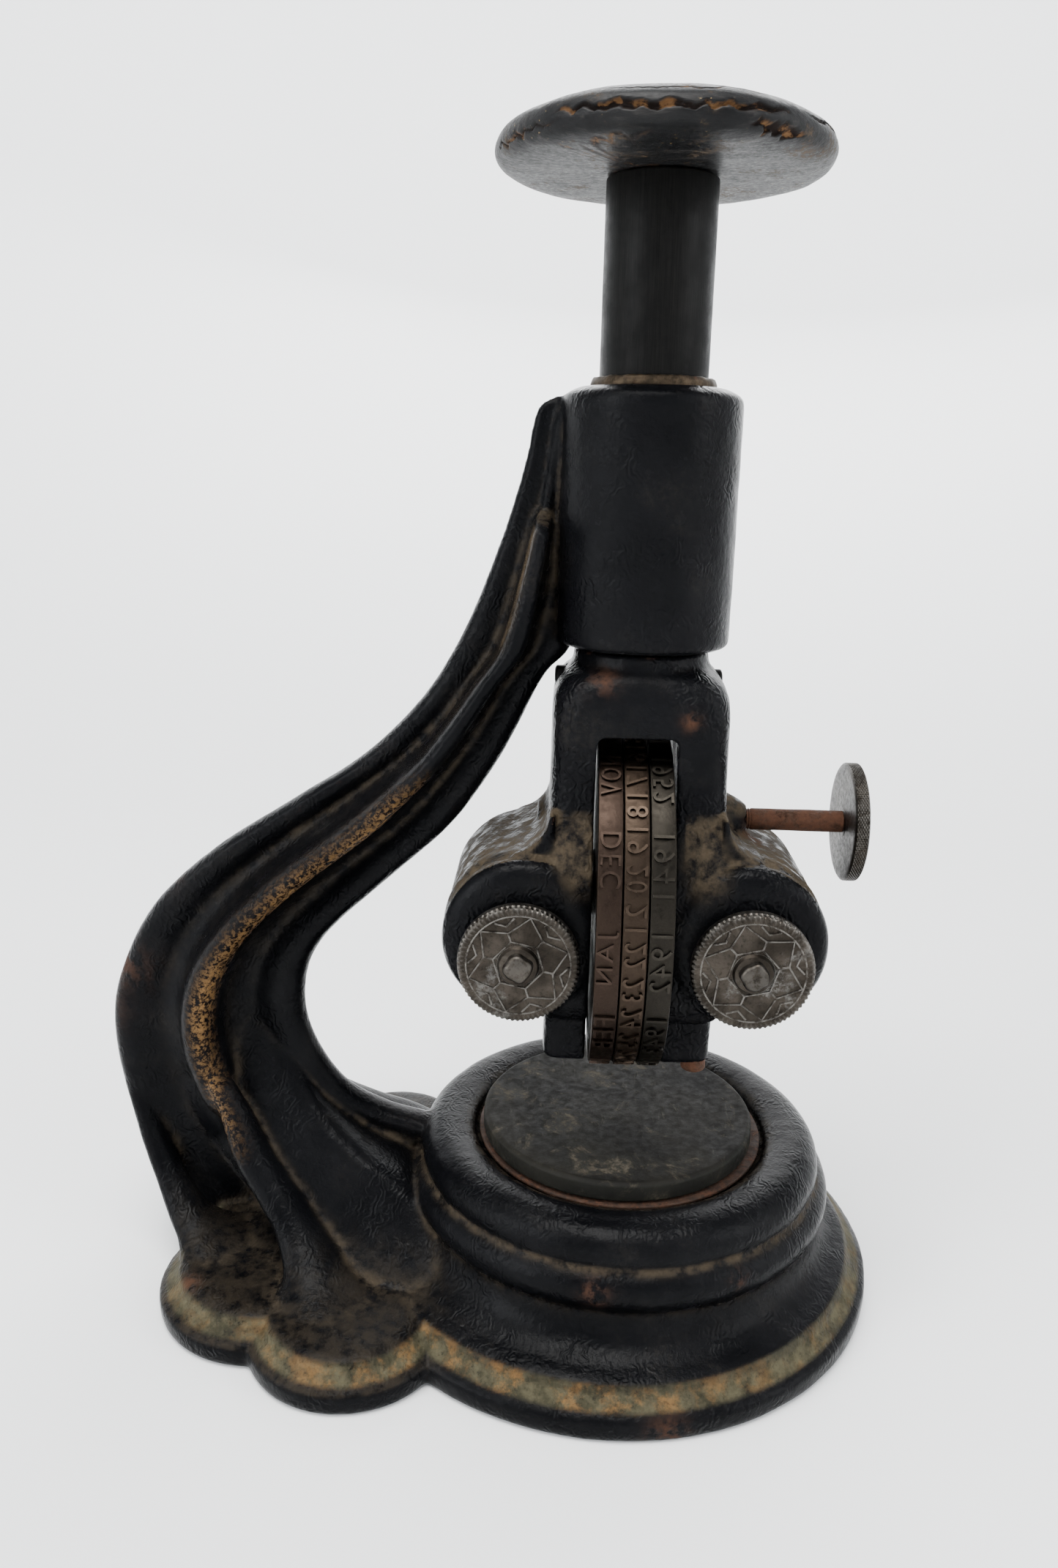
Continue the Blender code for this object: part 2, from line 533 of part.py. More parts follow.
def spool_set(word, side, nickel, steel, black, shaft):
    """A ribbon spool in its drum with its spindle, winding knob, spring washer and end nut."""
    x = side * SPOOL_X
    centre = (x, SPOOL_Z)
    profile = [(SPOOL_R, -19.9 * MM), (SPOOL_R, -19.1 * MM), (SPOOL_CORE_R, -19.1 * MM),
               (SPOOL_CORE_R, 13.6 * MM), (SPOOL_R, 13.6 * MM), (SPOOL_R, 14.4 * MM)]
    spool = new_object("spool_" + word, turned(profile, 20, centre, "Y"), black)
    bore = SPINDLE_R + GAP
    hole = turned([(bore, -30 * MM), (bore, 30 * MM)], 12, centre, "Y")
    combine(spool, [new_object("hole_helper", hole, helper=True)], "DIFFERENCE")
    finish(spool)
    spindle = [(SPINDLE_R - 0.5 * MM, -31.1 * MM), (SPINDLE_R, -30.7 * MM), (SPINDLE_R, 17.6 * MM)]
    washer_at = DRUM_FRONT - 0.9 * MM
    knob_at = washer_at - GAP - 0.2 * MM
    disc = knurled_disc(SPOOL_KNOB_R, knob_at - KNOB_T, knob_at, centre, "Y")
    knob = new_object("spool_knob_" + word, disc, nickel)
    hub = turned([(3.9 * MM, knob_at - 1 * MM), (4.3 * MM, knob_at - 3.2 * MM), (3.5 * MM, knob_at - 4.1 * MM)],
                 16, centre, "Y")
    combine(knob, [new_object("hub_helper", hub, helper=True)], "UNION")
    hole = turned([(bore, -40 * MM), (bore, 0.0)], 12, centre, "Y")
    combine(knob, [new_object("hole_helper", hole, helper=True)], "DIFFERENCE")
    finish(knob)
    washer = tube(5.0 * MM, 2.6 * MM, washer_at, DRUM_FRONT - GAP, 16, centre, "Y")
    nut = tube(4.4 * MM, 2.9 * MM, 14.7 * MM, 16.6 * MM, 6, centre, "Y")
    pieces = [spool, knob, new_object("spindle_" + word, turned(spindle, 12, centre, "Y"), steel),
              new_object("spring_washer_" + word, washer, steel),
              new_object("spindle_nut_" + word, nut, steel, smooth=False)]
    for piece in pieces:
        attach(piece, shaft, (x, 0.0, SPOOL_Z))


def lock_set(nickel, steel, shaft):
    """The clamp on the wheels: a shoe in a pocket of the cheek, pressed in by a screw with a knurled disc."""
    shoe = turned([(SHOE_R - 0.5 * MM, 7.3 * MM), (SHOE_R, 7.6 * MM), (SHOE_R, 8.9 * MM)], 16,
                  (0.0, LOCK_Z), "X")
    screw_end = LOCK_KNOB_X + KNOB_T + 1.1 * MM
    screw = turned([(LOCK_R - 0.4 * MM, 9.3 * MM), (LOCK_R, 9.7 * MM), (LOCK_R, screw_end - 0.4 * MM),
                    (LOCK_R - 0.4 * MM, screw_end)], 16, (0.0, LOCK_Z), "X")
    knob = knurled_disc(LOCK_KNOB_R, LOCK_KNOB_X, LOCK_KNOB_X + KNOB_T, (0.0, LOCK_Z), "X")
    disc = new_object("lock_knob", knob, nickel)
    hole = turned([(LOCK_R + GAP, 30 * MM), (LOCK_R + GAP, 60 * MM)], 16, (0.0, LOCK_Z), "X")
    combine(disc, [new_object("hole_helper", hole, helper=True)], "DIFFERENCE")
    finish(disc)
    pieces = [new_object("lock_shoe", shoe, steel), new_object("lock_screw", screw, steel), disc]
    for piece in pieces:
        attach(piece, shaft, (0.0, 0.0, LOCK_Z))


def main():
    for old in list(bpy.data.objects):
        bpy.data.objects.remove(old)
    japan = material("black_japan", JAPAN, 0.35, 0.0)
    head_japan = material("head_japan", JAPAN, 0.40, 0.0)
    dark_steel = material("dark_steel", (0.05, 0.048, 0.045), 0.35, 1.0)
    rusty_steel = material("rusty_steel", (0.12, 0.06, 0.03), 0.7, 0.8)
    spring_steel = material("spring_steel", (0.25, 0.25, 0.26), 0.35, 1.0)
    bush_bronze = material("bush_bronze", (0.16, 0.09, 0.05), 0.5, 1.0)
    wheel_bronze = material("wheel_bronze", BRONZE, 0.45, 1.0)
    nickel = material("worn_nickel", (0.22, 0.19, 0.15), 0.4, 1.0)
    rubber = material("pad_rubber", (0.04, 0.043, 0.038), 0.75, 0.0)
    brass = material("underlay_brass", (0.25, 0.14, 0.06), 0.6, 1.0)
    wood = material("ebonised_wood", (0.02, 0.018, 0.016), 0.45, 0.0)
    spool_black = material("spool_black", (0.02, 0.02, 0.02), 0.5, 0.6)
    frame_casting(japan)
    pad_pieces(rubber, brass)
    bushes(bush_bronze, spring_steel)
    shaft = plunger_shaft(dark_steel)
    palm_knob(wood, spring_steel, shaft)
    return_spring(spring_steel)
    die_head(head_japan, rusty_steel, shaft)
    type_wheel("month_wheel", 0, 12, 0.93, wheel_bronze, shaft)
    type_wheel("day_wheel", 1, 31, 0.86, wheel_bronze, shaft)
    type_wheel("year_wheel", 2, 12, 0.93, wheel_bronze, shaft)
    spool_set("left", -1, nickel, dark_steel, spool_black, shaft)
    spool_set("right", 1, nickel, dark_steel, spool_black, shaft)
    lock_set(nickel, rusty_steel, shaft)
    bpy.context.view_layer.update()


main()
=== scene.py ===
"""Looks of the date stamping press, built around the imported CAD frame.

Lengths in the tables below are millimetres in the row frame; MM turns them into metres.
"""

import math

import bmesh
import bpy
import numpy as np
from mathutils import Matrix, Vector, noise


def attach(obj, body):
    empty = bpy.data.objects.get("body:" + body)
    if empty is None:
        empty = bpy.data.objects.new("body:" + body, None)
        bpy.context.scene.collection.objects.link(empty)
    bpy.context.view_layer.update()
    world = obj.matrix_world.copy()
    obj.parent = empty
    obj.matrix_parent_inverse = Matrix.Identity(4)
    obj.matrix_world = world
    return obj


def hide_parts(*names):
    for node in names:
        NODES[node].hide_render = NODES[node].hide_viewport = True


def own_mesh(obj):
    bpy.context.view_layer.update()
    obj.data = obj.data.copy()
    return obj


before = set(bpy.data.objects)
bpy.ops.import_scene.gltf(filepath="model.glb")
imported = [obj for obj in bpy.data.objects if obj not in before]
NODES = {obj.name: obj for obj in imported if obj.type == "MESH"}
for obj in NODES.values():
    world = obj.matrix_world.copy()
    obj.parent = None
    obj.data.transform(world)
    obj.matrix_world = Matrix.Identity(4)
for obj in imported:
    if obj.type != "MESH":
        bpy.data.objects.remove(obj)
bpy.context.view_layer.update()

MM = 0.001
CAST_VOXEL = 0.55 * MM
HEAD_VOXEL = 0.4 * MM

# Frame casting
FLANGE_R = 57.2
FLANGE_X = -2.1
FLANGE_TOP = 4.6
BAND_TOP = 7.6
BAND_WIDTH = 4.4
LOBES = [(-54.2, -33.4, 20.6), (-54.2, 33.4, 20.6), (-73.1, -20.0, 23.1), (-73.1, 20.0, 23.1),
         (-80.0, 0.0, 13.6)]
BARREL_R = 17.0
BARREL_BOTTOM = 137.4
BARREL_TOP = 185.4
BORE_R = 12.1
RECESS_R = 31.5
RECESS_FLOOR = 30.0
PAD_X = -0.6
PAD_Y = -0.8
PAD_TOP = 35.8
RIB_TOP = 161.0
ARM_OUTER = [(-17.6, 184.0), (-21.6, 181.4), (-23.4, 173.0), (-26.6, 161.5), (-33.3, 143.5),
             (-41.3, 128.6), (-53.6, 115.0), (-69.9, 103.8), (-86.7, 92.6), (-100.8, 79.2),
             (-109.0, 63.0), (-111.0, 50.0), (-108.8, 34.0), (-103.4, 19.0), (-97.4, 8.5),
             (-93.0, 1.0)]
ARM_INNER = [(-13.0, 181.0), (-13.0, 175.0), (-13.0, 165.0), (-13.0, 152.0), (-13.6, 137.6),
             (-19.2, 130.4), (-27.7, 113.4), (-37.9, 98.7), (-53.5, 84.2), (-65.3, 72.0),
             (-68.8, 61.0), (-67.2, 50.0), (-60.4, 39.1), (-50.6, 33.6), (-42.5, 31.4),
             (-35.5, 30.0)]

# Plunger, head and wheels
SHAFT_R = 10.15
SHAFT_TOP = 220.9
KNOB_TOP = 233.0
SPRING_R = 8.95
SPRING_WIRE = 0.72
SPRING_BOTTOM = 146.0
SPRING_TOP = 172.2
WHEEL_Z = 85.2
WHEEL_R = 35.0
TYPE_ROOT = 34.45
WHEEL_W = 4.55
TYPE_HEIGHT = 3.9
TYPE_RELIEF = 0.62
WHEEL_X = [-5.62, -0.77, 4.08]
AXLE_BORE = 4.9
LOCK_Z = 102.2
THREAD_STEP = 0.5
HEAD_PIN_Z = 131.0
GUIDE_Z = 141.6
DIE_PIN_AT = (14.1, -10.3)
SPOOL_X = 22.0
SPOOL_Z = 80.4
DRUM_X = 21.3
DRUM_Z = 83.0
DRUM_FRONT = -24.0
DRUM_BACK = 15.5

# Splits round the palm knob: middle angle, half length, height, slope, half width, depth, seed
KNOB_CRACKS = [(-1.82, 0.46, 225.2, -0.6, 0.50, 1.3, 1), (-1.22, 0.30, 225.5, 1.3, 0.42, 1.2, 2),
               (-0.98, 0.20, 223.3, -1.2, 0.55, 1.4, 3), (-2.55, 0.34, 223.8, 0.8, 0.22, 0.6, 4),
               (-1.45, 0.62, 228.5, 0.3, 0.13, 0.3, 5), (-0.35, 0.42, 226.1, -0.9, 0.25, 0.7, 6),
               (0.55, 0.50, 224.3, 0.7, 0.30, 0.8, 7), (1.70, 0.62, 225.7, -0.5, 0.35, 0.9, 8),
               (2.65, 0.45, 227.3, 0.9, 0.24, 0.7, 9), (-2.05, 0.38, 221.5, 0.5, 0.16, 0.4, 10),
               (-0.75, 0.30, 220.5, -0.4, 0.16, 0.4, 11)]
CRACK_LIMIT_Z = 231.4  # the knob's splits stay below this height

# Backdrop
FLOOR_Z = -0.3
FLOOR_FLAT = 500
FLOOR_BEND = 1700

# Camera: position in millimetres, angles in degrees, lens in millimetres
CAMERA_AT = (-15.08, -231.38, 170.72)
CAMERA_PAN = 1.60
CAMERA_PITCH = 15.13
CAMERA_ROLL = 1.32
CAMERA_LENS = 26.89


# ---------------------------------------------------------------- mesh helpers

def catmull(points, count):
    """Evenly spaced points along a smooth curve through the given points."""
    knots = np.array(points, float)
    padded = np.vstack([2 * knots[0] - knots[1], knots, 2 * knots[-1] - knots[-2]])
    dense = []
    for i in range(len(knots) - 1):
        a, b, c, d = padded[i:i + 4]
        for t in np.linspace(0, 1, 16, endpoint=False):
            dense.append(0.5 * (2 * b + (c - a) * t + (2 * a - 5 * b + 4 * c - d) * t**2
                                + (3 * b - a - 3 * c + d) * t**3))
    dense.append(knots[-1])
    dense = np.array(dense)
    steps = np.linalg.norm(np.diff(dense, axis=0), axis=1)
    along = np.concatenate([[0], np.cumsum(steps)])
    wanted = np.linspace(0, along[-1], count)
    return np.stack([np.interp(wanted, along, dense[:, k]) for k in range(dense.shape[1])], 1)


def rounded(corners, radius, steps=4):
    """A polyline of (a, b) points whose inner corners are rounded."""
    corners = [np.array(c, float) for c in corners]
    line = [corners[0]]
    for before, corner, after in zip(corners, corners[1:], corners[2:]):
        back = before - corner
        ahead = after - corner
        cut = min(radius, 0.45 * np.linalg.norm(back), 0.45 * np.linalg.norm(ahead))
        start = corner + back / np.linalg.norm(back) * cut
        end = corner + ahead / np.linalg.norm(ahead) * cut
        for t in np.linspace(0, 1, steps + 1):
            line.append((1 - t)**2 * start + 2 * t * (1 - t) * corner + t**2 * end)
    line.append(corners[-1])
    return np.array(line)


def loft(rings):
    """A capped skin through rings of equally many points in millimetres, as (points in metres, faces)."""
    rings = np.asarray(rings, float)
    rows, columns = rings.shape[:2]
    index = np.arange(rows * columns).reshape(rows, columns)
    ahead = np.roll(index, -1, axis=1)
    quads = np.stack([index[:-1], ahead[:-1], ahead[1:], index[1:]], -1).reshape(-1, 4)
    faces = quads.tolist()
    faces.append(index[0][::-1].tolist())
    faces.append(index[-1].tolist())
    return (rings.reshape(-1, 3) * MM, faces)


def joined(parts):
    """Several (points, faces) skins as one."""
    points, faces, base = [], [], 0
    for part_points, part_faces in parts:
        points.append(part_points)
        faces += [[base + i for i in face] for face in part_faces]
        base += len(part_points)
    return (np.vstack(points), faces)


def turned(profile, segments, centre=(0.0, 0.0), axis="Z", radial=None):
    """A solid of revolution of (radius, height) points; radial(angle, row) may vary the radius."""
    angles = 2 * np.pi * np.arange(segments) / segments
    rings = []
    for k, (radius, height) in enumerate(profile):
        spread = radius + (radial(angles, k) if radial else 0.0)
        a = spread * np.cos(angles)
        b = spread * np.sin(angles)
        level = np.full(segments, height)
        if axis == "Z":
            rings.append(np.stack([centre[0] + a, centre[1] + b, level], 1))
        elif axis == "Y":
            rings.append(np.stack([centre[0] + a, level, centre[1] + b], 1))
        else:
            rings.append(np.stack([level, centre[0] + a, centre[1] + b], 1))
    return loft(rings)


def ring_turned(profile, segments, centre=(0.0, 0.0), axis="Z"):
    """A closed tube: the profile is a closed loop of (radius, height) points."""
    points, faces = turned(profile, segments, centre, axis)
    faces = faces[:-2]
    rows = len(profile)
    for i in range(segments):
        j = (i + 1) % segments
        top = (rows - 1) * segments
        faces.append([top + i, top + j, j, i])
    return (points, faces)


def block(low, high):
    """A plain box used as a cutter."""
    (x0, y0, z0), (x1, y1, z1) = low, high
    rings = [[(x0, y0, z), (x1, y0, z), (x1, y1, z), (x0, y1, z)] for z in (z0, z1)]
    return loft(rings)


def prism(outline, low, high):
    """An outline of (x, z) points pushed along Y."""
    return loft([[(a, level, b) for a, b in outline] for level in (low, high)])


def make(name, part, smooth_angle=40):
    """An object of one closed skin, faces outward."""
    points, faces = part
    mesh = bpy.data.meshes.new(name)
    mesh.from_pydata(np.asarray(points).tolist(), [], faces)
    bm = bmesh.new()
    bm.from_mesh(mesh)
    bmesh.ops.recalc_face_normals(bm, faces=bm.faces)
    bm.to_mesh(mesh)
    bm.free()
    made = bpy.data.objects.new(name, mesh)
    bpy.context.scene.collection.objects.link(made)
    mesh.shade_smooth()
    if smooth_angle < 180:
        mesh.set_sharp_from_angle(angle=math.radians(smooth_angle))
    return made


def evaluated_mesh(made):
    graph = bpy.context.evaluated_depsgraph_get()
    return bpy.data.meshes.new_from_object(made.evaluated_get(graph))


def curve_mesh(curve):
    """The mesh that a curve or a text makes."""
    helper = bpy.data.objects.new(curve.name, curve)
    bpy.context.scene.collection.objects.link(helper)
    mesh = evaluated_mesh(helper)
    bpy.data.objects.remove(helper)
    return mesh


def apply_modifiers(made):
    mesh = evaluated_mesh(made)
    made.modifiers.clear()
    made.data = mesh


def remesh(made, voxel, passes):
    """One even skin around everything in the mesh, then softened like a casting."""
    step = made.modifiers.new("skin", "REMESH")
    step.mode = "VOXEL"
    step.voxel_size = voxel
    soften = made.modifiers.new("soften", "SMOOTH")
    soften.factor = 0.5
    soften.iterations = passes
    apply_modifiers(made)
    made.data.shade_smooth()


def cut(made, cutters, smooth_angle=40):
    helpers = []
    for number, part in enumerate(cutters):
        helper = make("cutter_" + str(number), part)
        step = made.modifiers.new("cut", "BOOLEAN")
        step.operation = "DIFFERENCE"
        step.solver = "EXACT"
        step.object = helper
        helpers.append(helper)
    apply_modifiers(made)
    for helper in helpers:
        bpy.data.objects.remove(helper)
    made.data.shade_smooth()
    if smooth_angle < 180:
        made.data.set_sharp_from_angle(angle=math.radians(smooth_angle))


def coordinates(mesh):
    flat = np.empty(len(mesh.vertices) * 3, np.float32)
    mesh.vertices.foreach_get("co", flat)
    return flat.reshape(-1, 3).astype(float)


def set_coordinates(mesh, points):
    mesh.vertices.foreach_set("co", points.astype(np.float32).ravel())
    mesh.update()


def normals_of(mesh):
    flat = np.empty(len(mesh.vertices) * 3, np.float32)
    mesh.vertices.foreach_get("normal", flat)
    return flat.reshape(-1, 3).astype(float)


def neighbour_mean(mesh):
    """A function that averages a per-vertex value over each vertex's neighbours."""
    flat = np.empty(len(mesh.edges) * 2, np.int32)
    mesh.edges.foreach_get("vertices", flat)
    first, second = flat.reshape(-1, 2).T
    count = len(mesh.vertices)
    degree = np.bincount(first, minlength=count) + np.bincount(second, minlength=count)
    degree = np.maximum(degree, 1)

    def mean(values):
        values = values.reshape(count, -1)
        columns = []
        for k in range(values.shape[1]):
            column = values[:, k]
            total = np.bincount(first, weights=column[second], minlength=count)
            total += np.bincount(second, weights=column[first], minlength=count)
            columns.append(total / degree)
        return np.stack(columns, 1)

    return mean


def hollow_and_edge(mesh, passes, scale):
    """Per vertex, how deep it lies in a hollow and how far it stands on an edge, each 0 to 1."""
    mean = neighbour_mean(mesh)
    start = coordinates(mesh)
    normals = normals_of(mesh)
    moved = start.copy()
    for _ in range(passes):
        moved = 0.5 * moved + 0.5 * mean(moved)
    depth = ((moved - start) * normals).sum(1) / (scale * MM)
    return np.clip(depth, 0, 1), np.clip(-depth, 0, 1)


def roughen(made, coarse, fine, top=1000.0):
    """Moves a cast skin's points by two sizes of (size, seed, depth) lumps, kept within 0 to top."""
    points = coordinates(made.data)
    normals = normals_of(made.data)
    shift = sum(lumps(points, size, seed) * depth for size, seed, depth in (coarse, fine))
    points += normals * shift[:, None] * MM
    points[:, 2] = np.clip(points[:, 2], 0.0, top * MM)
    set_coordinates(made.data, points)
    return normals


def store(mesh, **layers):
    """Values on a mesh's points under the names that the materials read."""
    for name, values in layers.items():
        attribute = mesh.attributes.new(name, "FLOAT", "POINT")
        attribute.data.foreach_set("value", np.asarray(values, np.float32))


def lumps(points, size, seed):
    """Smooth noise at a list of points, about -1 to 1; size is the lump size in millimetres."""
    shift = Vector((seed * 7.3, seed * 3.1, seed * 1.7))
    scaled = points / (size * MM)
    return np.array([noise.noise(Vector(p) + shift) for p in scaled.tolist()])


def round_spots(x, y, z, spots):
    """A value at each point, 1 in the middle of each (x, y, z, size) spot and fading outward."""
    value = np.zeros(len(x))
    for sx, sy, sz, size in spots:
        value = np.maximum(value, np.exp(-((x - sx) ** 2 + (y - sy) ** 2 + (z - sz) ** 2) / size ** 2))
    return value


def finish_piece(made, body, node, material):
    """Gives a skin its material and its moving body, and hides the CAD node that it stands for."""
    made.data.materials.clear()
    made.data.materials.append(material)
    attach(made, body)
    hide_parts(node)


def plain_piece(node, part, body, material, smooth_angle=40):
    """A skin named after its CAD node, finished as it is."""
    finish_piece(make(node + "_skin", part, smooth_angle), body, node, material)


# ---------------------------------------------------------------- material helpers

class Look:
    """A Principled material and short names for the nodes that shape it."""

    def __init__(self, name, metallic=0.0, specular=0.2):
        self.material = bpy.data.materials.new(name)
        self.material.use_nodes = True
        self.tree = self.material.node_tree
        self.shader = self.tree.nodes["Principled BSDF"]
        self.shader.inputs["Metallic"].default_value = metallic
        self.shader.inputs["Specular IOR Level"].default_value = specular
        self.place = self.tree.nodes.new("ShaderNodeTexCoord").outputs["Object"]
        self.normal = None

    def node(self, kind, **inputs):
        made = self.tree.nodes.new(kind)
        for key, value in inputs.items():
            self.feed(made.inputs[key.replace("_", " ")], value)
        return made

    def feed(self, socket, value):
        if isinstance(value, bpy.types.NodeSocket):
            self.tree.links.new(value, socket)
        elif isinstance(value, tuple) and len(value) == 3 and socket.type == "RGBA":
            socket.default_value = (*value, 1.0)
        else:
            socket.default_value = value

    def stretched(self, x, y, z):
        mapping = self.node("ShaderNodeMapping", Vector=self.place)
        mapping.inputs["Scale"].default_value = (x, y, z)
        return mapping.outputs["Vector"]

    def noise(self, size, detail=4.0, rough=0.55, twist=0.0, at=None):
        """Noise whose largest lumps are about size millimetres."""
        made = self.node("ShaderNodeTexNoise", Vector=at or self.place, Scale=1000.0 / size, Detail=detail,
                         Roughness=rough, Distortion=twist)
        return made.outputs["Fac"]

    def cells(self, size):
        made = self.node("ShaderNodeTexVoronoi", Vector=self.place, Scale=1000.0 / size)
        return made.outputs["Distance"]

    def wrinkles(self, size, twist):
        made = self.node("ShaderNodeTexWave", Vector=self.place, Scale=1000.0 / size / 6.3,
                         Distortion=twist, Detail=2.0)
        made.inputs["Detail Scale"].default_value = 1.6
        return made.outputs["Fac"]

    def value(self, name):
        made = self.tree.nodes.new("ShaderNodeAttribute")
        made.attribute_name = name
        return made.outputs["Fac"]

    def ramp(self, value, low, high, bottom=0.0, top=1.0):
        """Maps low..high of a value smoothly to bottom..top."""
        made = self.node("ShaderNodeMapRange", Value=value)
        made.interpolation_type = "SMOOTHSTEP"
        for key, number in (("From Min", low), ("From Max", high), ("To Min", bottom), ("To Max", top)):
            made.inputs[key].default_value = number
        return made.outputs["Result"]

    def blotches(self, size, detail, rough, low, high):
        """Noise of a size in millimetres, pushed apart between low and high."""
        return self.ramp(self.noise(size, detail, rough), low, high)

    def math(self, operation, first, second=0.5):
        made = self.tree.nodes.new("ShaderNodeMath")
        made.operation = operation
        made.use_clamp = operation in ("ADD", "SUBTRACT", "MULTIPLY")
        self.feed(made.inputs[0], first)
        self.feed(made.inputs[1], second)
        return made.outputs[0]

    def times(self, first, second):
        return self.math("MULTIPLY", first, second)

    def mix(self, share, first, second):
        made = self.tree.nodes.new("ShaderNodeMix")
        made.data_type = "RGBA"
        self.feed(made.inputs[0], share)
        self.feed(made.inputs[6], first)
        self.feed(made.inputs[7], second)
        return made.outputs[2]

    def blend(self, share, first, second):
        made = self.tree.nodes.new("ShaderNodeMix")
        made.data_type = "FLOAT"
        self.feed(made.inputs[0], share)
        self.feed(made.inputs[2], first)
        self.feed(made.inputs[3], second)
        return made.outputs[0]

    def bump(self, height, depth, strength=1.0):
        """Adds relief; depth is its height in millimetres."""
        made = self.node("ShaderNodeBump", Height=height, Strength=strength)
        made.inputs["Distance"].default_value = depth * MM
        if self.normal:
            self.tree.links.new(self.normal, made.inputs["Normal"])
        self.normal = made.outputs["Normal"]

    def done(self, colour, roughness, metallic=None):
        self.feed(self.shader.inputs["Base Color"], colour)
        self.feed(self.shader.inputs["Roughness"], roughness)
        if metallic is not None:
            self.feed(self.shader.inputs["Metallic"], metallic)
        if self.normal:
            self.tree.links.new(self.normal, self.shader.inputs["Normal"])
        return self.material


def japan(name, dust_amount, wrinkle_amount):
    """Black japan on a casting: wrinkled gloss, dust in hollows, worn gold lines with a painted sheen on the
    band's front, rust spots.
    """
    look = Look(name, specular=0.045)
    hollow = look.value("hollow")
    edge = look.value("edge")
    broad = look.noise(26, 3)
    fine = look.noise(3.2, 6, 0.65)
    speck = look.noise(0.9, 5, 0.7)
    black = look.mix(look.ramp(broad, 0.35, 0.7), (0.0015, 0.0016, 0.0020), (0.0036, 0.0037, 0.0043))
    dust_mask = look.times(look.ramp(hollow, 0.06, 0.75), look.ramp(fine, 0.34, 0.62))
    dust_mask = look.times(dust_mask, dust_amount)
    dust_colour = look.mix(speck, (0.020, 0.015, 0.009), (0.062, 0.048, 0.032))
    colour = look.mix(dust_mask, black, dust_colour)
    film = look.times(look.blotches(13, 5, 0.6, 0.5, 0.75), look.ramp(speck, 0.4, 0.7))
    colour = look.mix(look.times(film, 0.10), colour, (0.07, 0.06, 0.045))
    rust_noise = look.noise(7, 6, 0.7)
    rust_mask = look.times(look.ramp(edge, 0.25, 0.8), look.ramp(rust_noise, 0.60, 0.70))
    spots = look.times(look.value("rust"), look.ramp(fine, 0.4, 0.6))
    rust_mask = look.math("MAXIMUM", rust_mask, spots)
    rust_colour = look.mix(speck, (0.020, 0.010, 0.007), (0.070, 0.034, 0.020))
    colour = look.mix(rust_mask, colour, rust_colour)
    worn = look.blotches(5.0, 7, 0.72, 0.33, 0.56)
    band_mask = look.times(look.value("band"), look.blend(0.55, worn, look.ramp(speck, 0.25, 0.5)))
    olive = look.mix(look.ramp(fine, 0.35, 0.65), (0.026, 0.024, 0.014), (0.058, 0.052, 0.031))
    orange = look.mix(speck, (0.075, 0.040, 0.014), (0.175, 0.098, 0.038))
    # Painted sheen: the gold band turns orange and brighter toward the front, where it faces the camera and
    # the front lamps; the orange blotches are partly real gilt wear.
    orange_gilt_and_sheen = look.times(look.blotches(7, 6, 0.72, 0.46, 0.62), look.value("front"))
    gold = look.mix(orange_gilt_and_sheen, olive, orange)
    colour = look.mix(band_mask, colour, gold)
    line_mask = look.times(look.value("line"), look.blotches(2.2, 6, 0.75, 0.36, 0.52))
    colour = look.mix(line_mask, colour, look.mix(speck, (0.055, 0.040, 0.024), (0.165, 0.120, 0.072)))
    flake_mask = look.times(look.value("flake"), look.blotches(1.0, 6, 0.8, 0.46, 0.56))
    colour = look.mix(flake_mask, colour, look.mix(speck, (0.075, 0.038, 0.015), (0.26, 0.15, 0.060)))
    gloss = look.blend(look.blotches(8, 5, 0.6, 0.35, 0.7), 0.13, 0.30)
    rough = look.blend(dust_mask, gloss, 0.85)
    rough = look.blend(rust_mask, rough, 0.8)
    rough = look.blend(look.math("MAXIMUM", band_mask, flake_mask), rough, 0.62)
    look.bump(look.noise(9, 3), 0.26, 0.6)
    patches = look.blotches(11, 4, 0.6, 0.44, 0.6)
    look.bump(look.times(look.wrinkles(0.9, 18.0), patches), 0.10 * wrinkle_amount)
    look.bump(look.noise(2.4, 6, 0.66), 0.24)
    look.bump(look.noise(0.8, 4, 0.6), 0.05)
    look.bump(look.math("MAXIMUM", look.math("MAXIMUM", dust_mask, flake_mask), rust_mask), 0.03)
    return look.done(colour, rough)


def plain_metal(name, dark, light, rough_low, rough_high, rust=0.0, streak=(1.0, 1.0, 1.0), metallic=1.0,
                specular=0.2):
    """Worn bare metal with fine scratches along the streak direction and rust in blotches."""
    look = Look(name, metallic=metallic, specular=specular)
    scratch = look.noise(1.2, 6, 0.7, at=look.stretched(*streak))
    blotch = look.noise(5, 5, 0.62)
    speck = look.noise(0.6, 4, 0.7)
    colour = look.mix(look.ramp(scratch, 0.3, 0.7), dark, light)
    colour = look.mix(look.times(look.ramp(blotch, 0.42, 0.7), 0.5), colour,
                      tuple(0.55 * c for c in dark))
    rough = look.blend(look.ramp(blotch, 0.3, 0.7), rough_low, rough_high)
    look.bump(scratch, 0.03)
    if rust:
        mask = look.ramp(look.noise(2.6, 7, 0.75), 0.62 - 0.35 * rust, 0.78 - 0.35 * rust)
        colour = look.mix(mask, colour, look.mix(speck, (0.028, 0.011, 0.006), (0.085, 0.036, 0.018)))
        rough = look.blend(mask, rough, 0.85)
        metal = look.blend(mask, metallic, 0.0)
        look.bump(mask, 0.05)
        look.bump(speck, 0.04)
        return look.done(colour, rough, metal)
    return look.done(colour, rough)


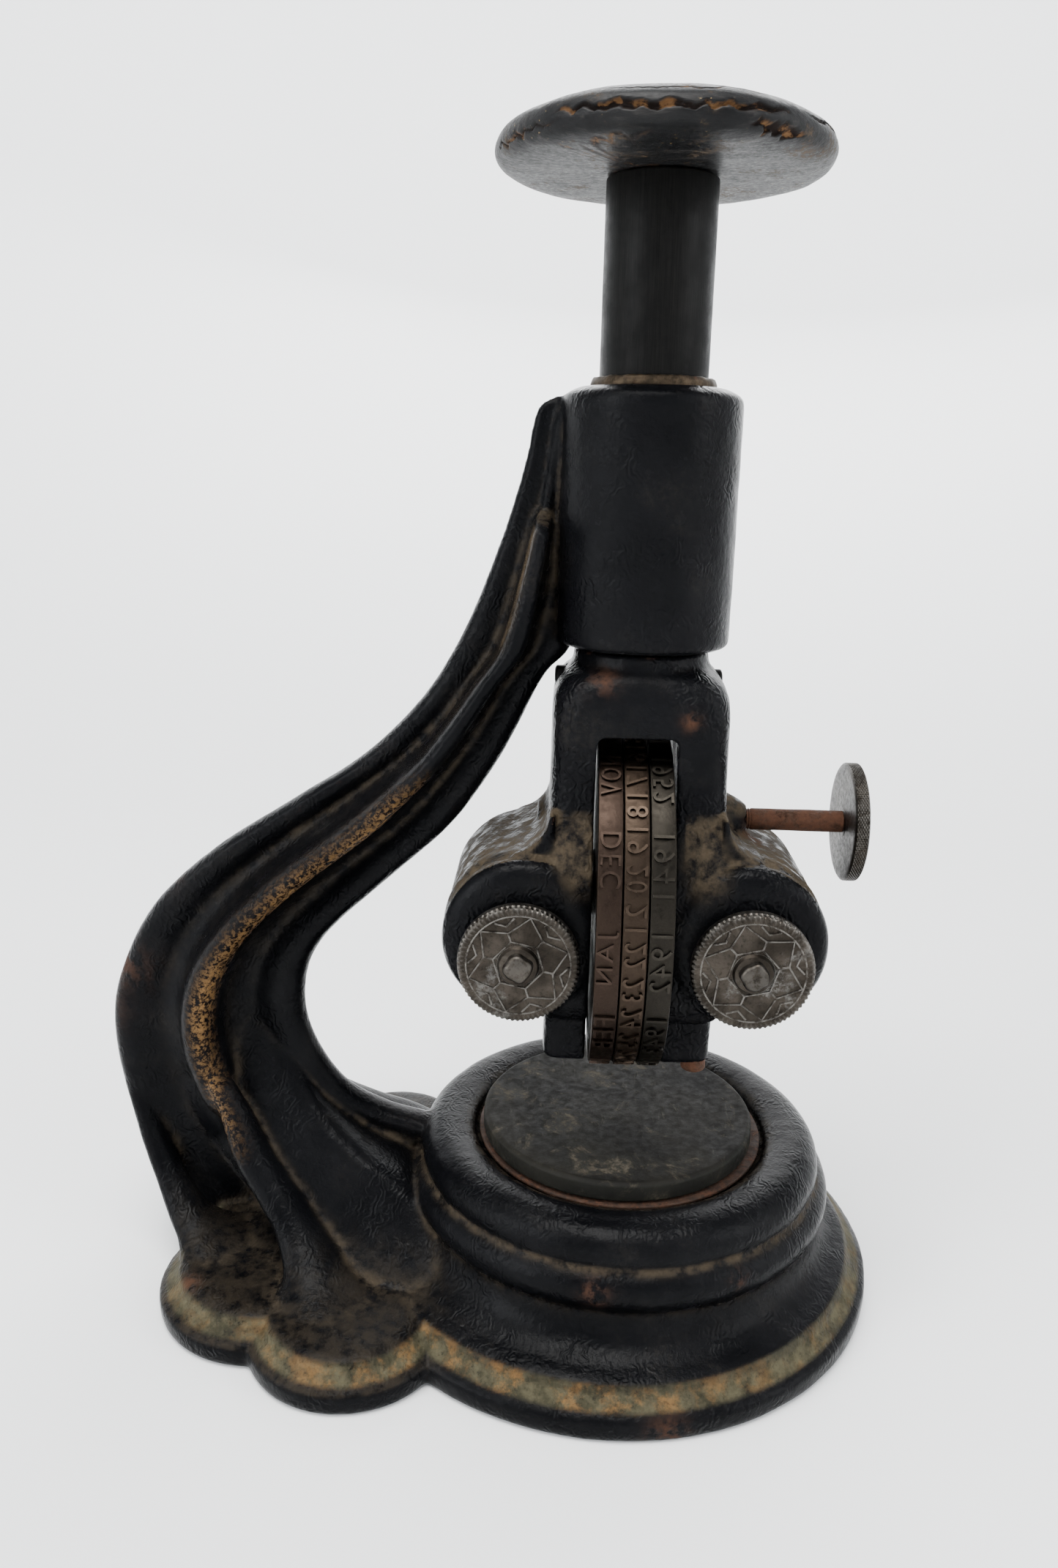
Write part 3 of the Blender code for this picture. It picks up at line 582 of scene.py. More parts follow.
def wheel_metal(name, tint):
    """Brown type metal: dark in the sunk field, rubbed lighter on the raised strokes."""
    def shade(share):
        return tuple(share * c for c in tint)

    look = Look(name, metallic=1.0)
    raised = look.value("raised")
    fine = look.noise(1.4, 6, 0.7)
    broad = look.noise(6, 3)
    speck = look.noise(0.35, 4, 0.7)
    low = look.mix(look.ramp(broad, 0.35, 0.65), shade(0.50), shade(0.95))
    low = look.mix(look.times(look.ramp(fine, 0.45, 0.7), 0.6), low, shade(0.30))
    high = look.mix(speck, shade(2.2), shade(6.5))
    colour = look.mix(look.times(raised, look.ramp(fine, 0.25, 0.5, 0.45, 1.0)), low, high)
    dirt = look.times(look.value("hollow"), look.ramp(fine, 0.3, 0.6))
    colour = look.mix(dirt, colour, (0.035, 0.03, 0.02))
    rough = look.blend(look.ramp(fine, 0.3, 0.7), 0.30, 0.54)
    look.bump(fine, 0.035)
    look.bump(speck, 0.02)
    return look.done(colour, rough)


def knob_metal(name):
    """Worn plated disc: brown bronze with pale rubbed relief and bright scuffs."""
    look = Look(name, metallic=1.0)
    raised = look.value("raised")
    fine = look.noise(0.9, 6, 0.72)
    broad = look.noise(7, 4)
    brown = look.mix(look.ramp(broad, 0.35, 0.68), (0.019, 0.016, 0.013), (0.046, 0.039, 0.032))
    colour = look.mix(look.times(look.ramp(fine, 0.5, 0.68), 0.6), brown, (0.009, 0.008, 0.007))
    pale = look.mix(fine, (0.065, 0.060, 0.053), (0.18, 0.17, 0.155))
    colour = look.mix(look.times(raised, look.blotches(1.6, 5, 0.7, 0.36, 0.58)), colour, pale)
    scuff = look.times(look.blotches(10, 6, 0.66, 0.57, 0.68), look.ramp(fine, 0.4, 0.6))
    colour = look.mix(look.times(scuff, 0.6), colour, (0.17, 0.165, 0.155))
    rough = look.blend(look.ramp(fine, 0.3, 0.7), 0.30, 0.55)
    look.bump(fine, 0.04)
    look.bump(look.noise(0.3, 4, 0.7), 0.02)
    return look.done(colour, rough)


def black_wood():
    """Black paint on turned wood: cracked along the grain, rubbed grey, bare wood in the cracks."""
    look = Look("ebonised_wood", specular=0.10)
    crack = look.value("crack")
    grain = look.noise(1.6, 6, 0.65, at=look.stretched(0.10, 1.0, 1.0))
    speck = look.noise(0.8, 5, 0.75)
    black = look.mix(look.blotches(14, 4, 0.55, 0.35, 0.7), (0.0034, 0.0034, 0.0037),
                     (0.0085, 0.0085, 0.0087))
    colour = look.mix(look.times(look.ramp(grain, 0.52, 0.75), 0.35), black, (0.055, 0.05, 0.046))
    wear = look.times(look.blotches(9, 7, 0.7, 0.54, 0.66), look.ramp(speck, 0.42, 0.62))
    colour = look.mix(look.times(wear, 0.55), colour, (0.11, 0.075, 0.045))
    flecks = look.times(look.blotches(1.3, 6, 0.8, 0.635, 0.70),
                       look.blotches(17, 3, 0.55, 0.46, 0.6))
    colour = look.mix(flecks, colour, (0.33, 0.23, 0.10))
    bare = look.mix(look.blotches(3.0, 5, 0.6, 0.52, 0.62), (0.008, 0.005, 0.004), (0.115, 0.060, 0.026))
    colour = look.mix(crack, colour, bare)
    rough = look.blend(look.ramp(speck, 0.3, 0.7), 0.33, 0.52)
    rough = look.blend(look.math("MAXIMUM", crack, wear), rough, 0.75)
    look.bump(grain, 0.09)
    look.bump(look.noise(5, 4), 0.2, 0.6)
    look.bump(speck, 0.05)
    return look.done(colour, rough)


def pad_rubber():
    """Old dark rubber with chalky scuffs and pinholes."""
    look = Look("pad_rubber", specular=0.06)
    broad = look.noise(15, 4)
    fine = look.noise(1.6, 6, 0.7)
    colour = look.mix(look.ramp(broad, 0.35, 0.65), (0.0038, 0.0037, 0.0029), (0.0088, 0.0081, 0.0060))
    scuff = look.ramp(look.noise(9, 7, 0.68, twist=0.6), 0.53, 0.67)
    scuff = look.times(scuff, look.ramp(fine, 0.38, 0.64))
    colour = look.mix(look.times(scuff, 0.7), colour, (0.085, 0.072, 0.050))
    streak = look.ramp(look.noise(2.4, 6, 0.7, at=look.stretched(1.4, 0.22, 1.0)), 0.60, 0.72)
    colour = look.mix(look.times(streak, 0.35), colour, (0.06, 0.055, 0.042))
    pits = look.ramp(look.cells(1.5), 0.02, 0.16)
    colour = look.mix(look.times(look.value("edge"), 0.35), colour, (0.020, 0.020, 0.018))
    rough = look.blend(look.ramp(fine, 0.3, 0.7), 0.52, 0.78)
    look.bump(look.noise(7, 4), 0.12)
    look.bump(fine, 0.05)
    look.bump(pits, 0.03, 0.5)
    return look.done(colour, rough)


def backdrop_paint():
    look = Look("backdrop", specular=0.15)
    colour = look.mix(look.noise(400, 2), (0.80, 0.81, 0.815), (0.82, 0.825, 0.83))
    look.bump(look.noise(0.7, 3), 0.02)
    return look.done(colour, 0.85)


# ---------------------------------------------------------------- frame casting

def base_rings():
    """The round base: flange, gold band, cove, bead, groove and the big roll around the pad recess."""
    profile = rounded([(FLANGE_R - 0.8, 0.0), (FLANGE_R, 0.8), (FLANGE_R, FLANGE_TOP - 0.3),
                       (FLANGE_R - 0.6, FLANGE_TOP), (53.4, BAND_TOP - 0.5), (52.9, BAND_TOP + 1.2),
                       (50.6, 9.6)], 0.6, 2)
    profile = [tuple(p) for p in profile]
    profile += [(49.4, 9.9), (47.6, 10.8), (46.0, 12.0), (44.9, 13.5), (44.2, 15.2), (43.8, 17.0),
                (44.1, 17.8), (44.9, 18.7), (45.5, 19.9), (45.7, 21.3), (45.5, 22.7), (44.8, 23.9),
                (43.9, 24.8), (43.0, 25.4), (42.7, 25.9), (43.1, 26.8), (43.2, 27.9), (42.9, 29.3),
                (42.2, 30.6), (41.1, 31.7), (39.7, 32.5), (38.0, 32.9), (36.2, 32.9), (34.4, 32.6),
                (33.0, 32.2), (32.0, 31.6), (RECESS_R, 30.9), (RECESS_R, RECESS_FLOOR - 0.2)]
    angles = 2 * np.pi * np.arange(240) / 240
    rings = []
    for radius, height in profile:
        lean = FLANGE_X * np.clip((17.0 - height) / 8.0, 0, 1)
        rings.append(np.stack([lean + radius * np.cos(angles), radius * np.sin(angles),
                               np.full(len(angles), height)], 1))
    return loft(rings)


def lobe(x, y, radius):
    profile = rounded([(radius - 0.8, 0.0), (radius, 0.8), (radius, FLANGE_TOP - 0.3),
                       (radius - 0.6, FLANGE_TOP), (radius - 3.9, BAND_TOP - 0.5),
                       (radius - 4.4, BAND_TOP + 0.8), (radius - 6.8, 9.0), (radius * 0.3, 9.5)], 0.7, 2)
    return turned(profile, 96, (x, y))


def arm_lines(count):
    return catmull(ARM_OUTER, count), catmull(ARM_INNER, count)


def rib_depth(along):
    """How far the front and back ribs stand out from the arm's middle plane."""
    return 10.6 + 4.6 * math.sin(math.pi * min(1.0, along * 1.1))


def rib_crest(along, half):
    """Half the width of a side rib's crest at a share of the way down the arm."""
    return np.minimum(2.3 + 1.3 * np.minimum(1.0, along * 2.0), 0.19 * half)


def arm_section(half, along, height):
    """Half of the arm's closed section as (u, v): outer bead, hollow, rib crest, hollow, inner bead."""
    bead = min(2.8 + 1.0 * min(1.0, along * 2.0), 0.30 * half)
    web = 1.6 + 1.2 * max(0.0, along - 0.8) * 5
    below_shelf = min(1.0, max(0.0, (RIB_TOP + 1.5 - height) / 3.0))
    above_foot = min(1.0, max(0.0, (0.92 - along) / 0.08))
    rib = 3.0 + (rib_depth(along) - 3.0) * below_shelf * above_foot
    crest = float(rib_crest(along, half))
    side = [(half, 0.0), (half - 0.22 * bead, 0.62 * bead), (half - 0.8 * bead, 0.98 * bead),
            (half - 1.5 * bead, 0.92 * bead), (half - 2.1 * bead, 0.62 * bead + 0.2 * web)]
    middle = 0.5 * (half - 2.1 * bead) + 0.5 * crest * 2.0
    side += [(max(middle, crest * 2.3), web), (crest * 2.0, web + 0.06 * rib), (crest * 1.35, 0.34 * rib),
             (crest * 1.12, 0.62 * rib), (crest * 0.98, rib - 0.95 * crest),
             (crest * 0.72, rib - 0.38 * crest), (crest * 0.36, rib - 0.08 * crest)]
    return side + [(0.0, rib)] + [(-u, v) for u, v in reversed(side)]


def arm_skin():
    stations = 150
    outer_line, inner_line = arm_lines(stations)
    rings = []
    for k in range(stations):
        outer, inner = outer_line[k], inner_line[k]
        middle = (outer + inner) / 2
        gap = np.linalg.norm(outer - inner)
        across = (outer - inner) / gap
        half_loop = catmull(arm_section(gap / 2, k / (stations - 1), middle[1]), 72)
        whole = np.vstack([half_loop, half_loop[-2:0:-1] * (1, -1)])
        rings.append(np.stack([middle[0] + across[0] * whole[:, 0], whole[:, 1],
                               middle[1] + across[1] * whole[:, 0]], 1))
    return loft(rings)


def foot_path(stops, count):
    """A round limb with level sections through (x, y, z, radius) stops."""
    path = catmull(stops, count)
    angles = 2 * np.pi * np.arange(40) / 40
    rings = [np.stack([x + radius * np.cos(angles), y + radius * np.sin(angles), np.full(40, z)], 1)
             for x, y, z, radius in path]
    return loft(rings)


def foot_body():
    """The arm's web, growing thick toward the base: narrow at the outer edge, wide from the ribs inward."""
    levels = [(54.0, -106.0, -89.0, -74.0, 1.4), (45.0, -103.5, -86.0, -70.0, 4.0),
              (37.0, -101.5, -82.0, -64.0, 8.0), (30.0, -98.5, -77.5, -55.0, 12.0),
              (25.0, -95.5, -73.3, -46.0, 15.0), (20.0, -92.0, -69.0, -40.0, 18.0),
              (15.0, -88.5, -64.5, -36.0, 22.0), (11.0, -86.0, -61.0, -33.0, 26.0),
              (7.0, -84.0, -57.5, -30.0, 30.0)]
    rings = []
    for z, left, rib, right, half in catmull(levels, 36):
        corners = [(left, 0.0), (left + 3.0, 1.2), ((left + rib) / 2, 0.42 * half), (rib, half),
                   (right, 1.15 * half), (right, 0.0)]
        outline = rounded(corners, 5.0, 4)
        whole = np.vstack([outline, outline[-2:0:-1] * (1, -1)])
        rings.append(np.column_stack([whole, np.full(len(whole), z)]))
    return loft(rings)


def rib_foot(side):
    """The lower end of a side rib, leaning forward and spreading over the front scallop."""
    stops = [(-85.4, side * 10.6, 44.0, 2.8), (-82.0, side * 11.2, 37.0, 3.3),
             (-77.5, side * 14.5, 29.0, 4.2), (-71.5, side * 17.5, 22.0, 5.0),
             (-66.3, side * 21.0, 16.5, 5.8), (-62.4, side * 26.5, 12.3, 6.6),
             (-59.8, side * 30.5, 9.8, 8.8), (-57.6, side * 32.6, 7.6, 13.6)]
    return foot_path(stops, 40)


def bead_foot(side):
    """The lower end of the arm's outer edge, spreading over an end scallop."""
    stops = [(-107.2, side * 1.0, 38.0, 2.2), (-101.8, side * 4.5, 25.0, 3.0),
             (-97.0, side * 8.5, 17.5, 3.6), (-92.5, side * 12.0, 12.6, 4.8),
             (-87.0, side * 14.5, 9.8, 7.6), (-80.0, side * 17.0, 7.4, 13.0)]
    return foot_path(stops, 30)


def barrel_skin():
    profile = rounded([(BARREL_R - 2.0, BARREL_BOTTOM), (BARREL_R, BARREL_BOTTOM + 0.6),
                       (BARREL_R, BARREL_TOP - 1.4), (BARREL_R - 3.2, BARREL_TOP)], 1.6, 4)
    return turned(profile, 160)


def scallop_distance(x, y):
    """How far inside the base's scalloped outline a point lies, in millimetres."""
    circles = [(FLANGE_X, 0.0, FLANGE_R)] + LOBES
    return np.max([r - np.hypot(x - cx, y - cy) for cx, cy, r in circles], axis=0)


def arm_coordinates(points):
    """For each point: the share of the way down the arm, the offset across it and its half width."""
    count = 260
    outer, inner = arm_lines(count)
    middle = (outer + inner) / 2
    half = np.linalg.norm(outer - inner, axis=1) / 2
    across = (outer - inner) / (2 * half[:, None])
    flat = points[:, (0, 2)] / MM
    nearest = np.empty(len(flat), int)
    for start in range(0, len(flat), 20000):
        chunk = flat[start:start + 20000]
        distance = ((chunk[:, None, :] - middle[None]) ** 2).sum(2)
        nearest[start:start + 20000] = distance.argmin(1)
    offset = ((flat - middle[nearest]) * across[nearest]).sum(1)
    return nearest / (count - 1), offset, half[nearest]


def casting_body():
    """Base, scallops, arm, feet and barrel as one cast skin with its bores."""
    filler = rounded([(32.0, 0.0), (32.0, 6.8), (30.0, 8.6), (22.0, 10.4), (8.0, 11.4)], 2, 3)
    parts = [base_rings(), arm_skin(), barrel_skin(), turned(filler, 96, (-58.0, 0.0)), foot_body()]
    parts += [lobe(*spec) for spec in LOBES]
    parts += [rib_foot(side) for side in (-1, 1)]
    parts += [bead_foot(side) for side in (-1, 1)]
    casting = make("casting_skin", joined(parts))
    remesh(casting, CAST_VOXEL, 9)
    roughen(casting, (9, 1, 0.10), (3.1, 2, 0.035))
    cut(casting, [turned([(BORE_R, 125), (BORE_R, 200)], 96),
                  turned([(2.2, 8), (2.2, 30)], 32, (0.0, GUIDE_Z), "Y")], 180)
    return casting


def casting_marks(mesh):
    """Where the casting is dusty, worn, rusty or lined with gold, and where the gold band gets a painted
    sheen toward the front, as values on its points.
    """
    points = coordinates(mesh)
    normals = normals_of(mesh)
    x, y, z = points.T / MM
    deep, stand = hollow_and_edge(mesh, 40, 1.1)
    fine_deep, fine_stand = hollow_and_edge(mesh, 8, 0.30)
    foot = np.clip((22.0 - z) / 14.0, 0, 1) * np.clip((-x - 28.0) / 14.0, 0, 1)
    ledge = np.clip((normals[:, 2] - 0.15) / 0.5, 0, 1)
    hollow = np.maximum(deep, 0.7 * fine_deep) + 0.35 * foot * ledge
    hollow += 0.30 * np.exp(-((z - 25.6) / 1.2) ** 2) * (np.hypot(x, y) < 48.0) * (x > -44)
    hollow += 0.4 * np.exp(-((z - 31.8) / 0.8) ** 2) * (np.hypot(x, y) < 34.0) * (x > -36)
    shelf = np.exp(-((z - RIB_TOP - 1.5) / 2.0) ** 2) * (x < -14) * (x > -32) * ledge
    hollow += 0.9 * shelf * (np.hypot(x, y) > BARREL_R - 0.5)
    inside = scallop_distance(x, y)
    band = (np.clip((inside - 1.2) / 0.8, 0, 1) * np.clip((BAND_WIDTH + 0.5 - inside) / 0.9, 0, 1)
            * (z < BAND_TOP + 1.6) * np.clip((normals[:, 2] - 0.25) / 0.3, 0, 1))
    along, offset, half = arm_coordinates(points)
    crest = rib_crest(along, half)
    depth = np.array([rib_depth(a) for a in along.tolist()])
    on_rib = np.clip((np.abs(y) - (depth - 5.0)) / 2.0, 0, 1) * (z > 26) * (z < 160) * (x < -15)
    share = offset / crest
    rib_side = np.clip((np.abs(y) - (depth - 9.0)) / 2.0, 0, 1) * (z > 26) * (z < 160) * (x < -15)
    line = 0.8 * rib_side * np.exp(-((share - 1.45) / 0.45) ** 2) * np.clip((0.66 - along) / 0.2, 0, 1)
    flake = on_rib * np.exp(-((share + 0.45) / 0.50) ** 2) * np.clip((along - 0.36) / 0.08, 0, 1)
    flake *= np.clip((0.90 - along) / 0.10, 0, 1) * (0.75 + 0.5 * np.clip(lumps(points, 14, 10), -1, 1))
    spots = [(40.5, -20.0, 30.0, 1.6), (22.0, -40.5, 23.0, 1.7), (-6.0, -45.0, 22.5, 2.2),
             (8.0, -57.0, 1.8, 3.2), (-106.0, 0.0, 66.0, 4.5), (-110.0, 1.0, 56.0, 4.0),
             (-95.0, 2.0, 85.0, 3.0), (-88.0, -30.0, 8.0, 2.5)]
    rust = round_spots(x, y, z, spots)
    # Painted sheen: this mask grows toward the camera's side of the base and makes the gold band paint
    # orange and brighter there.
    front_sheen = np.clip((-y - 20.0) / 30.0, 0, 1) * np.exp(-((x + 22.0) / 42.0) ** 2)
    store(mesh, hollow=np.clip(hollow, 0, 1) * (band < 0.5), edge=np.maximum(stand, fine_stand),
          band=band, front=0.25 + 0.75 * front_sheen, line=line, flake=flake, rust=rust)


def frame_casting(material):
    casting = casting_body()
    casting_marks(casting.data)
    finish_piece(casting, "frame", "frame_casting", material)


# ---------------------------------------------------------------- die head

def yoke_skin():
    """The head's middle: cheeks below, a yoke, shoulders and a round neck."""
    levels = [(53.4, 16.9, 13.6, 13.6, 12), (54.2, 17.2, 14.0, 14.0, 12), (63.2, 17.2, 14.0, 14.0, 12),
              (64.4, 17.3, 17.0, 14.8, 12), (66.6, 17.5, 21.6, 16.6, 12), (70.0, 17.6, 22.8, 17.0, 12),
              (92.0, 17.6, 22.8, 17.0, 11), (97.0, 17.5, 22.0, 17.0, 10), (102.0, 17.4, 20.0, 17.0, 9),
              (107.0, 17.3, 18.0, 17.0, 8), (113.0, 17.2, 17.0, 17.0, 7), (125.0, 17.2, 16.9, 16.9, 6),
              (128.5, 17.0, 16.5, 16.5, 5), (131.0, 16.2, 15.6, 15.6, 4), (132.8, 14.9, 14.6, 14.6, 3),
              (134.0, 13.6, 13.6, 13.6, 2.2), (135.2, 13.3, 13.3, 13.3, 2), (136.9, 13.2, 13.2, 13.2, 2)]
    table = np.array(levels)
    heights = np.concatenate([np.linspace(53.4, 63.2, 14), np.linspace(63.7, 72, 18),
                              np.linspace(73, 125, 60), np.linspace(125.5, 136.9, 26)])
    angles = 2 * np.pi * (np.arange(160) + 0.5) / 160
    c, s = np.cos(angles), np.sin(angles)
    rings = []
    for height in heights:
        half_x, front, back, power = [np.interp(height, table[:, 0], table[:, k]) for k in (1, 2, 3, 4)]
        scale = (np.abs(c) ** power + np.abs(s) ** power) ** (-1 / power)
        reach = np.where(s > 0, back, front)
        rings.append(np.stack([half_x * c * scale, reach * s * scale, np.full(len(c), height)], 1))
    return loft(rings)


def drum_skin(side):
    """A ribbon drum: flat face, soft edge, a shallow step and a low bead behind it."""
    profile = [(4.0, DRUM_FRONT), (11.8, DRUM_FRONT), (13.6, -23.7), (15.0, -22.9), (15.8, -21.6),
               (16.0, -20.2), (15.6, -19.0), (15.5, -17.6), (15.9, -16.4), (16.2, -15.0),
               (16.0, -13.4), (15.7, -12.2), (15.9, -10.0), (16.0, 0.0), (16.0, 14.0),
               (15.4, DRUM_BACK)]
    return turned(profile, 128, (side * DRUM_X, DRUM_Z), "Y")


def shoulder_skin(side):
    """The hollow sweep from the yoke's side down to the drum's top."""
    arc = [(24.6 - 7.6 * math.cos(t), 107.6 - 8.2 * math.sin(t)) for t in np.linspace(0.0, 1.45, 12)]
    outline = [(16.0, 90.0), (16.0, 107.6)] + arc + [(25.0, 96.0)]
    return prism([(side * a, b) for a, b in outline], -19.5, 14.5)


def head_cutters():
    slot_left, slot_right, slot_top = -8.5, 7.0, 122.0
    outline = rounded([(slot_left, 40.0), (slot_left, slot_top), (slot_right, slot_top),
                       (slot_right, 40.0)], 2.2, 5)
    cutters = [prism([tuple(p) for p in outline], -40, 40),
               turned([(35.9, slot_left + 0.05), (35.9, slot_right - 0.05)], 128, (0.0, WHEEL_Z), "X"),
               turned([(7.8, 123.6), (7.8, 150)], 64),
               turned([(2.15, -30), (2.15, 30)], 32, (0.0, HEAD_PIN_Z), "X"),
               turned([(2.5, 5), (2.5, 30)], 32, (0.0, LOCK_Z), "X"),
               turned([(5.4, 5), (5.4, 9.6)], 48, (0.0, LOCK_Z), "X"),
               turned([(2.9, 45), (2.9, 61)], 32, DIE_PIN_AT),
               turned([(4.9, -30), (4.9, 15)], 48, (0.0, WHEEL_Z), "X")]
    for side in (-1, 1):
        cutters.append(turned([(13.8, DRUM_FRONT + 3.2), (13.8, 30)], 96, (side * DRUM_X, DRUM_Z), "Y"))
        cutters.append(turned([(2.6, -40), (2.6, 0)], 32, (side * SPOOL_X, SPOOL_Z), "Y"))
        low, high = sorted((side * 18.4, side * 26.0))
        cutters.append(block((low, -19, 58), (high, 18, 76)))
    return cutters


def head_body():
    """The head as one cast skin with its slot and bores, and its normals before the lumps."""
    parts = [yoke_skin()]
    for side in (-1, 1):
        parts.append(drum_skin(side))
        parts.append(shoulder_skin(side))
        end = 23.2 if side > 0 else 19.6
        boss = rounded([(9.0, side * 8), (9.0, side * 12), (6.0, side * 17.6), (4.0, side * (end - 1.6)),
                        (2.6, side * end)], 1.5, 4)
        parts.append(turned(boss, 48, (0.0, LOCK_Z), "X"))
    head = make("die_head_skin", joined(parts))
    remesh(head, HEAD_VOXEL, 12)
    cut(head, head_cutters(), 180)
    remesh(head, HEAD_VOXEL, 4)
    return head, roughen(head, (7, 3, 0.08), (2.4, 4, 0.03))


def head_marks(mesh, normals):
    """Where the head is dusty, worn or rusty, as values on its points."""
    x, y, z = coordinates(mesh).T / MM
    deep, stand = hollow_and_edge(mesh, 40, 0.9)
    fine_deep, fine_stand = hollow_and_edge(mesh, 8, 0.22)
    up = np.clip((normals[:, 2] - 0.1) / 0.5, 0, 1)
    drum_top = up * (z > 88) * (z < 108) * (np.abs(x) > 9)
    beside = np.exp(-((np.abs(x - 1) - 12.0) / 4.2) ** 2) * np.exp(-((z - 99.0) / 6.0) ** 2) * (y < -14)
    low_front = np.clip((96.0 - z) / 4.0, 0, 1) * (y < -14)
    hollow = np.maximum(deep, 0.6 * fine_deep) * (1 - 0.8 * low_front)
    hollow += 0.75 * drum_top * (y > -21) + 0.9 * beside
    rust = round_spots(x, y, z, [(-7.5, -13.5, 132.0, 2.4), (9.0, -16.9, 125.5, 1.6),
                                 (24.0, -3.0, 99.0, 3.0)])
    none = np.zeros(len(x))
    store(mesh, hollow=np.clip(hollow, 0, 1), edge=np.maximum(stand, fine_stand), rust=rust,
          band=none, front=none, line=none, flake=none)


def die_head(material):
    head, normals = head_body()
    head_marks(head.data, normals)
    finish_piece(head, "plunger", "die_head", material)


# ---------------------------------------------------------------- type wheels

def raised_text(words, height, length, relief):
    """A string as a closed relief about its middle: x along it, y up its letters, z out of the face."""
    curve = bpy.data.curves.new("type", "FONT")
    curve.body = words
    curve.size = 1.0
    curve.extrude = 0.05
    curve.resolution_u = 3
    curve.space_character = 1.25
    bm = bmesh.new()
    bm.from_mesh(curve_mesh(curve))
    bmesh.ops.remove_doubles(bm, verts=bm.verts, dist=1e-5)
    long_edges = [e for e in bm.edges if e.calc_length() > 0.2]
    bmesh.ops.subdivide_edges(bm, edges=long_edges, cuts=2, use_grid_fill=False)
    bmesh.ops.triangulate(bm, faces=bm.faces)
    bm.verts.ensure_lookup_table()
    points = np.array([v.co for v in bm.verts], float)
    faces = [[v.index for v in f.verts] for f in bm.faces]
    bm.free()
    low, high = points.min(0), points.max(0)
    middle = (low + high) / 2
    size = high - low
    points = (points - middle) / np.maximum(size, 1e-6)
    points[:, 0] *= length
    points[:, 1] *= height
    points[:, 2] = (points[:, 2] + 0.5) * relief
    return points, faces


def wheel_body(x_middle):
    """The plain disc under the type: soft rims, a shallow dish on each side and a hub."""
    half = WHEEL_W / 2
    outer = TYPE_ROOT
    web = half - 0.35
    profile = rounded([(AXLE_BORE, -half), (8.5, -half), (9.2, -web), (29.5, -web), (30.2, -half),
                       (outer, -half), (outer, half), (30.2, half), (29.5, web), (9.2, web),
                       (8.5, half), (AXLE_BORE, half)], 0.22, 2)
    profile = [(r, x_middle + h) for r, h in profile]
    return ring_turned(profile, 256, (0.0, WHEEL_Z), "X")


def type_wheel(name, x_middle, entries, first_angle, step, lengths, material):
    """A wheel with mirrored type: the words run down the rim and the letters' tops point left."""
    points, faces = wheel_body(x_middle)
    parts = [(points, faces)]
    body_points = len(points)
    for k, words in enumerate(entries):
        letters, letter_faces = raised_text(words, TYPE_HEIGHT, lengths(words), TYPE_RELIEF)
        radius = TYPE_ROOT - 0.08 + letters[:, 2]
        angle = math.radians(first_angle - step * k) - letters[:, 0] / WHEEL_R
        wrapped = np.stack([x_middle - letters[:, 1], -radius * np.cos(angle),
                            WHEEL_Z + radius * np.sin(angle)], 1)
        parts.append((wrapped * MM, letter_faces))
    wheel = make(name + "_skin", joined(parts), 50)
    points = coordinates(wheel.data)
    radius = np.hypot(points[:, 1], points[:, 2] - WHEEL_Z * MM) / MM
    raised = np.zeros(len(points))
    raised[body_points:] = np.clip((radius[body_points:] - TYPE_ROOT) / 0.4, 0, 1)
    rim = (np.abs(np.abs(points[:, 0] / MM - x_middle) - WHEEL_W / 2) < 0.3) & (radius > TYPE_ROOT - 0.4)
    raised = np.maximum(raised, 0.55 * rim)
    store(wheel.data, raised=raised, hollow=np.clip((33.8 - radius) / 6.0, 0, 0.8))
    finish_piece(wheel, name, name, material)


def type_wheels():
    months = ["DEC", "JAN", "FEB", "MAR", "APR", "MAY", "JUN", "JUL", "AUG", "SEP", "OCT", "NOV"]
    days = [str(n) for n in range(1, 32)]
    years = [str(n) for n in range(1941, 1953)]
    day_step = 360 / 31
    type_wheel("month_wheel", WHEEL_X[0], months, 30.0, 30.0, lambda words: 10.4,
               wheel_metal("month_bronze", (0.0090, 0.0062, 0.0048)))
    type_wheel("day_wheel", WHEEL_X[1], days, 12.83 + 20 * day_step, day_step,
               lambda words: 4.9 if len(words) == 2 else 2.2,
               wheel_metal("day_bronze", (0.0105, 0.0075, 0.0055)))
    type_wheel("year_wheel", WHEEL_X[2], years, 28.5, 30.0, lambda words: 11.6,
               wheel_metal("year_bronze", (0.0064, 0.0057, 0.0047)))


# ---------------------------------------------------------------- plunger

def plunger_shaft(material):
    profile = rounded([(6.9, 124.0), (7.5, 124.6), (7.5, 172.6), (SHAFT_R - 0.4, 172.6), (SHAFT_R, 173.0),
                       (SHAFT_R, SHAFT_TOP - 0.2), (SHAFT_R - 0.2, SHAFT_TOP)], 0.3, 2)
    shaft = make("shaft_skin", turned(profile, 192), 30)
    cut(shaft, [block((-1.5, 6.1, 139.4), (1.5, 12.0, 159.0)),
                turned([(4.3, 206), (4.3, 230)], 48),
                turned([(2.1, -20), (2.1, 20)], 32, (0.0, HEAD_PIN_Z), "X")], 30)
    finish_piece(shaft, "plunger", "plunger_shaft", material)


def crack_depth(crack, angles, heights):
    """How deep a jagged split round the knob cuts at each point, in millimetres."""
    middle, half_length, level, slope, width, depth, seed = crack
    random = np.random.default_rng(seed)
    turn = (angles - middle + math.pi) % (2 * math.pi) - math.pi
    knots = np.linspace(-half_length, half_length, 15)
    jagged = np.interp(turn, knots, random.uniform(-0.55, 0.55, 15))
    jagged += np.interp(turn, np.linspace(-half_length, half_length, 47), random.uniform(-0.16, 0.16, 47))
    opening = width * (0.45 + np.interp(turn, knots, random.uniform(0.1, 1.0, 15)))
    fade = np.clip(1 - (turn / half_length) ** 2, 0, 1) ** 0.6
    away = np.abs(heights - (level + slope * turn + jagged)[None, :]) / (opening * fade + 0.02)[None, :]
    return depth * fade[None, :] * np.clip(1.3 - away, 0, 1)


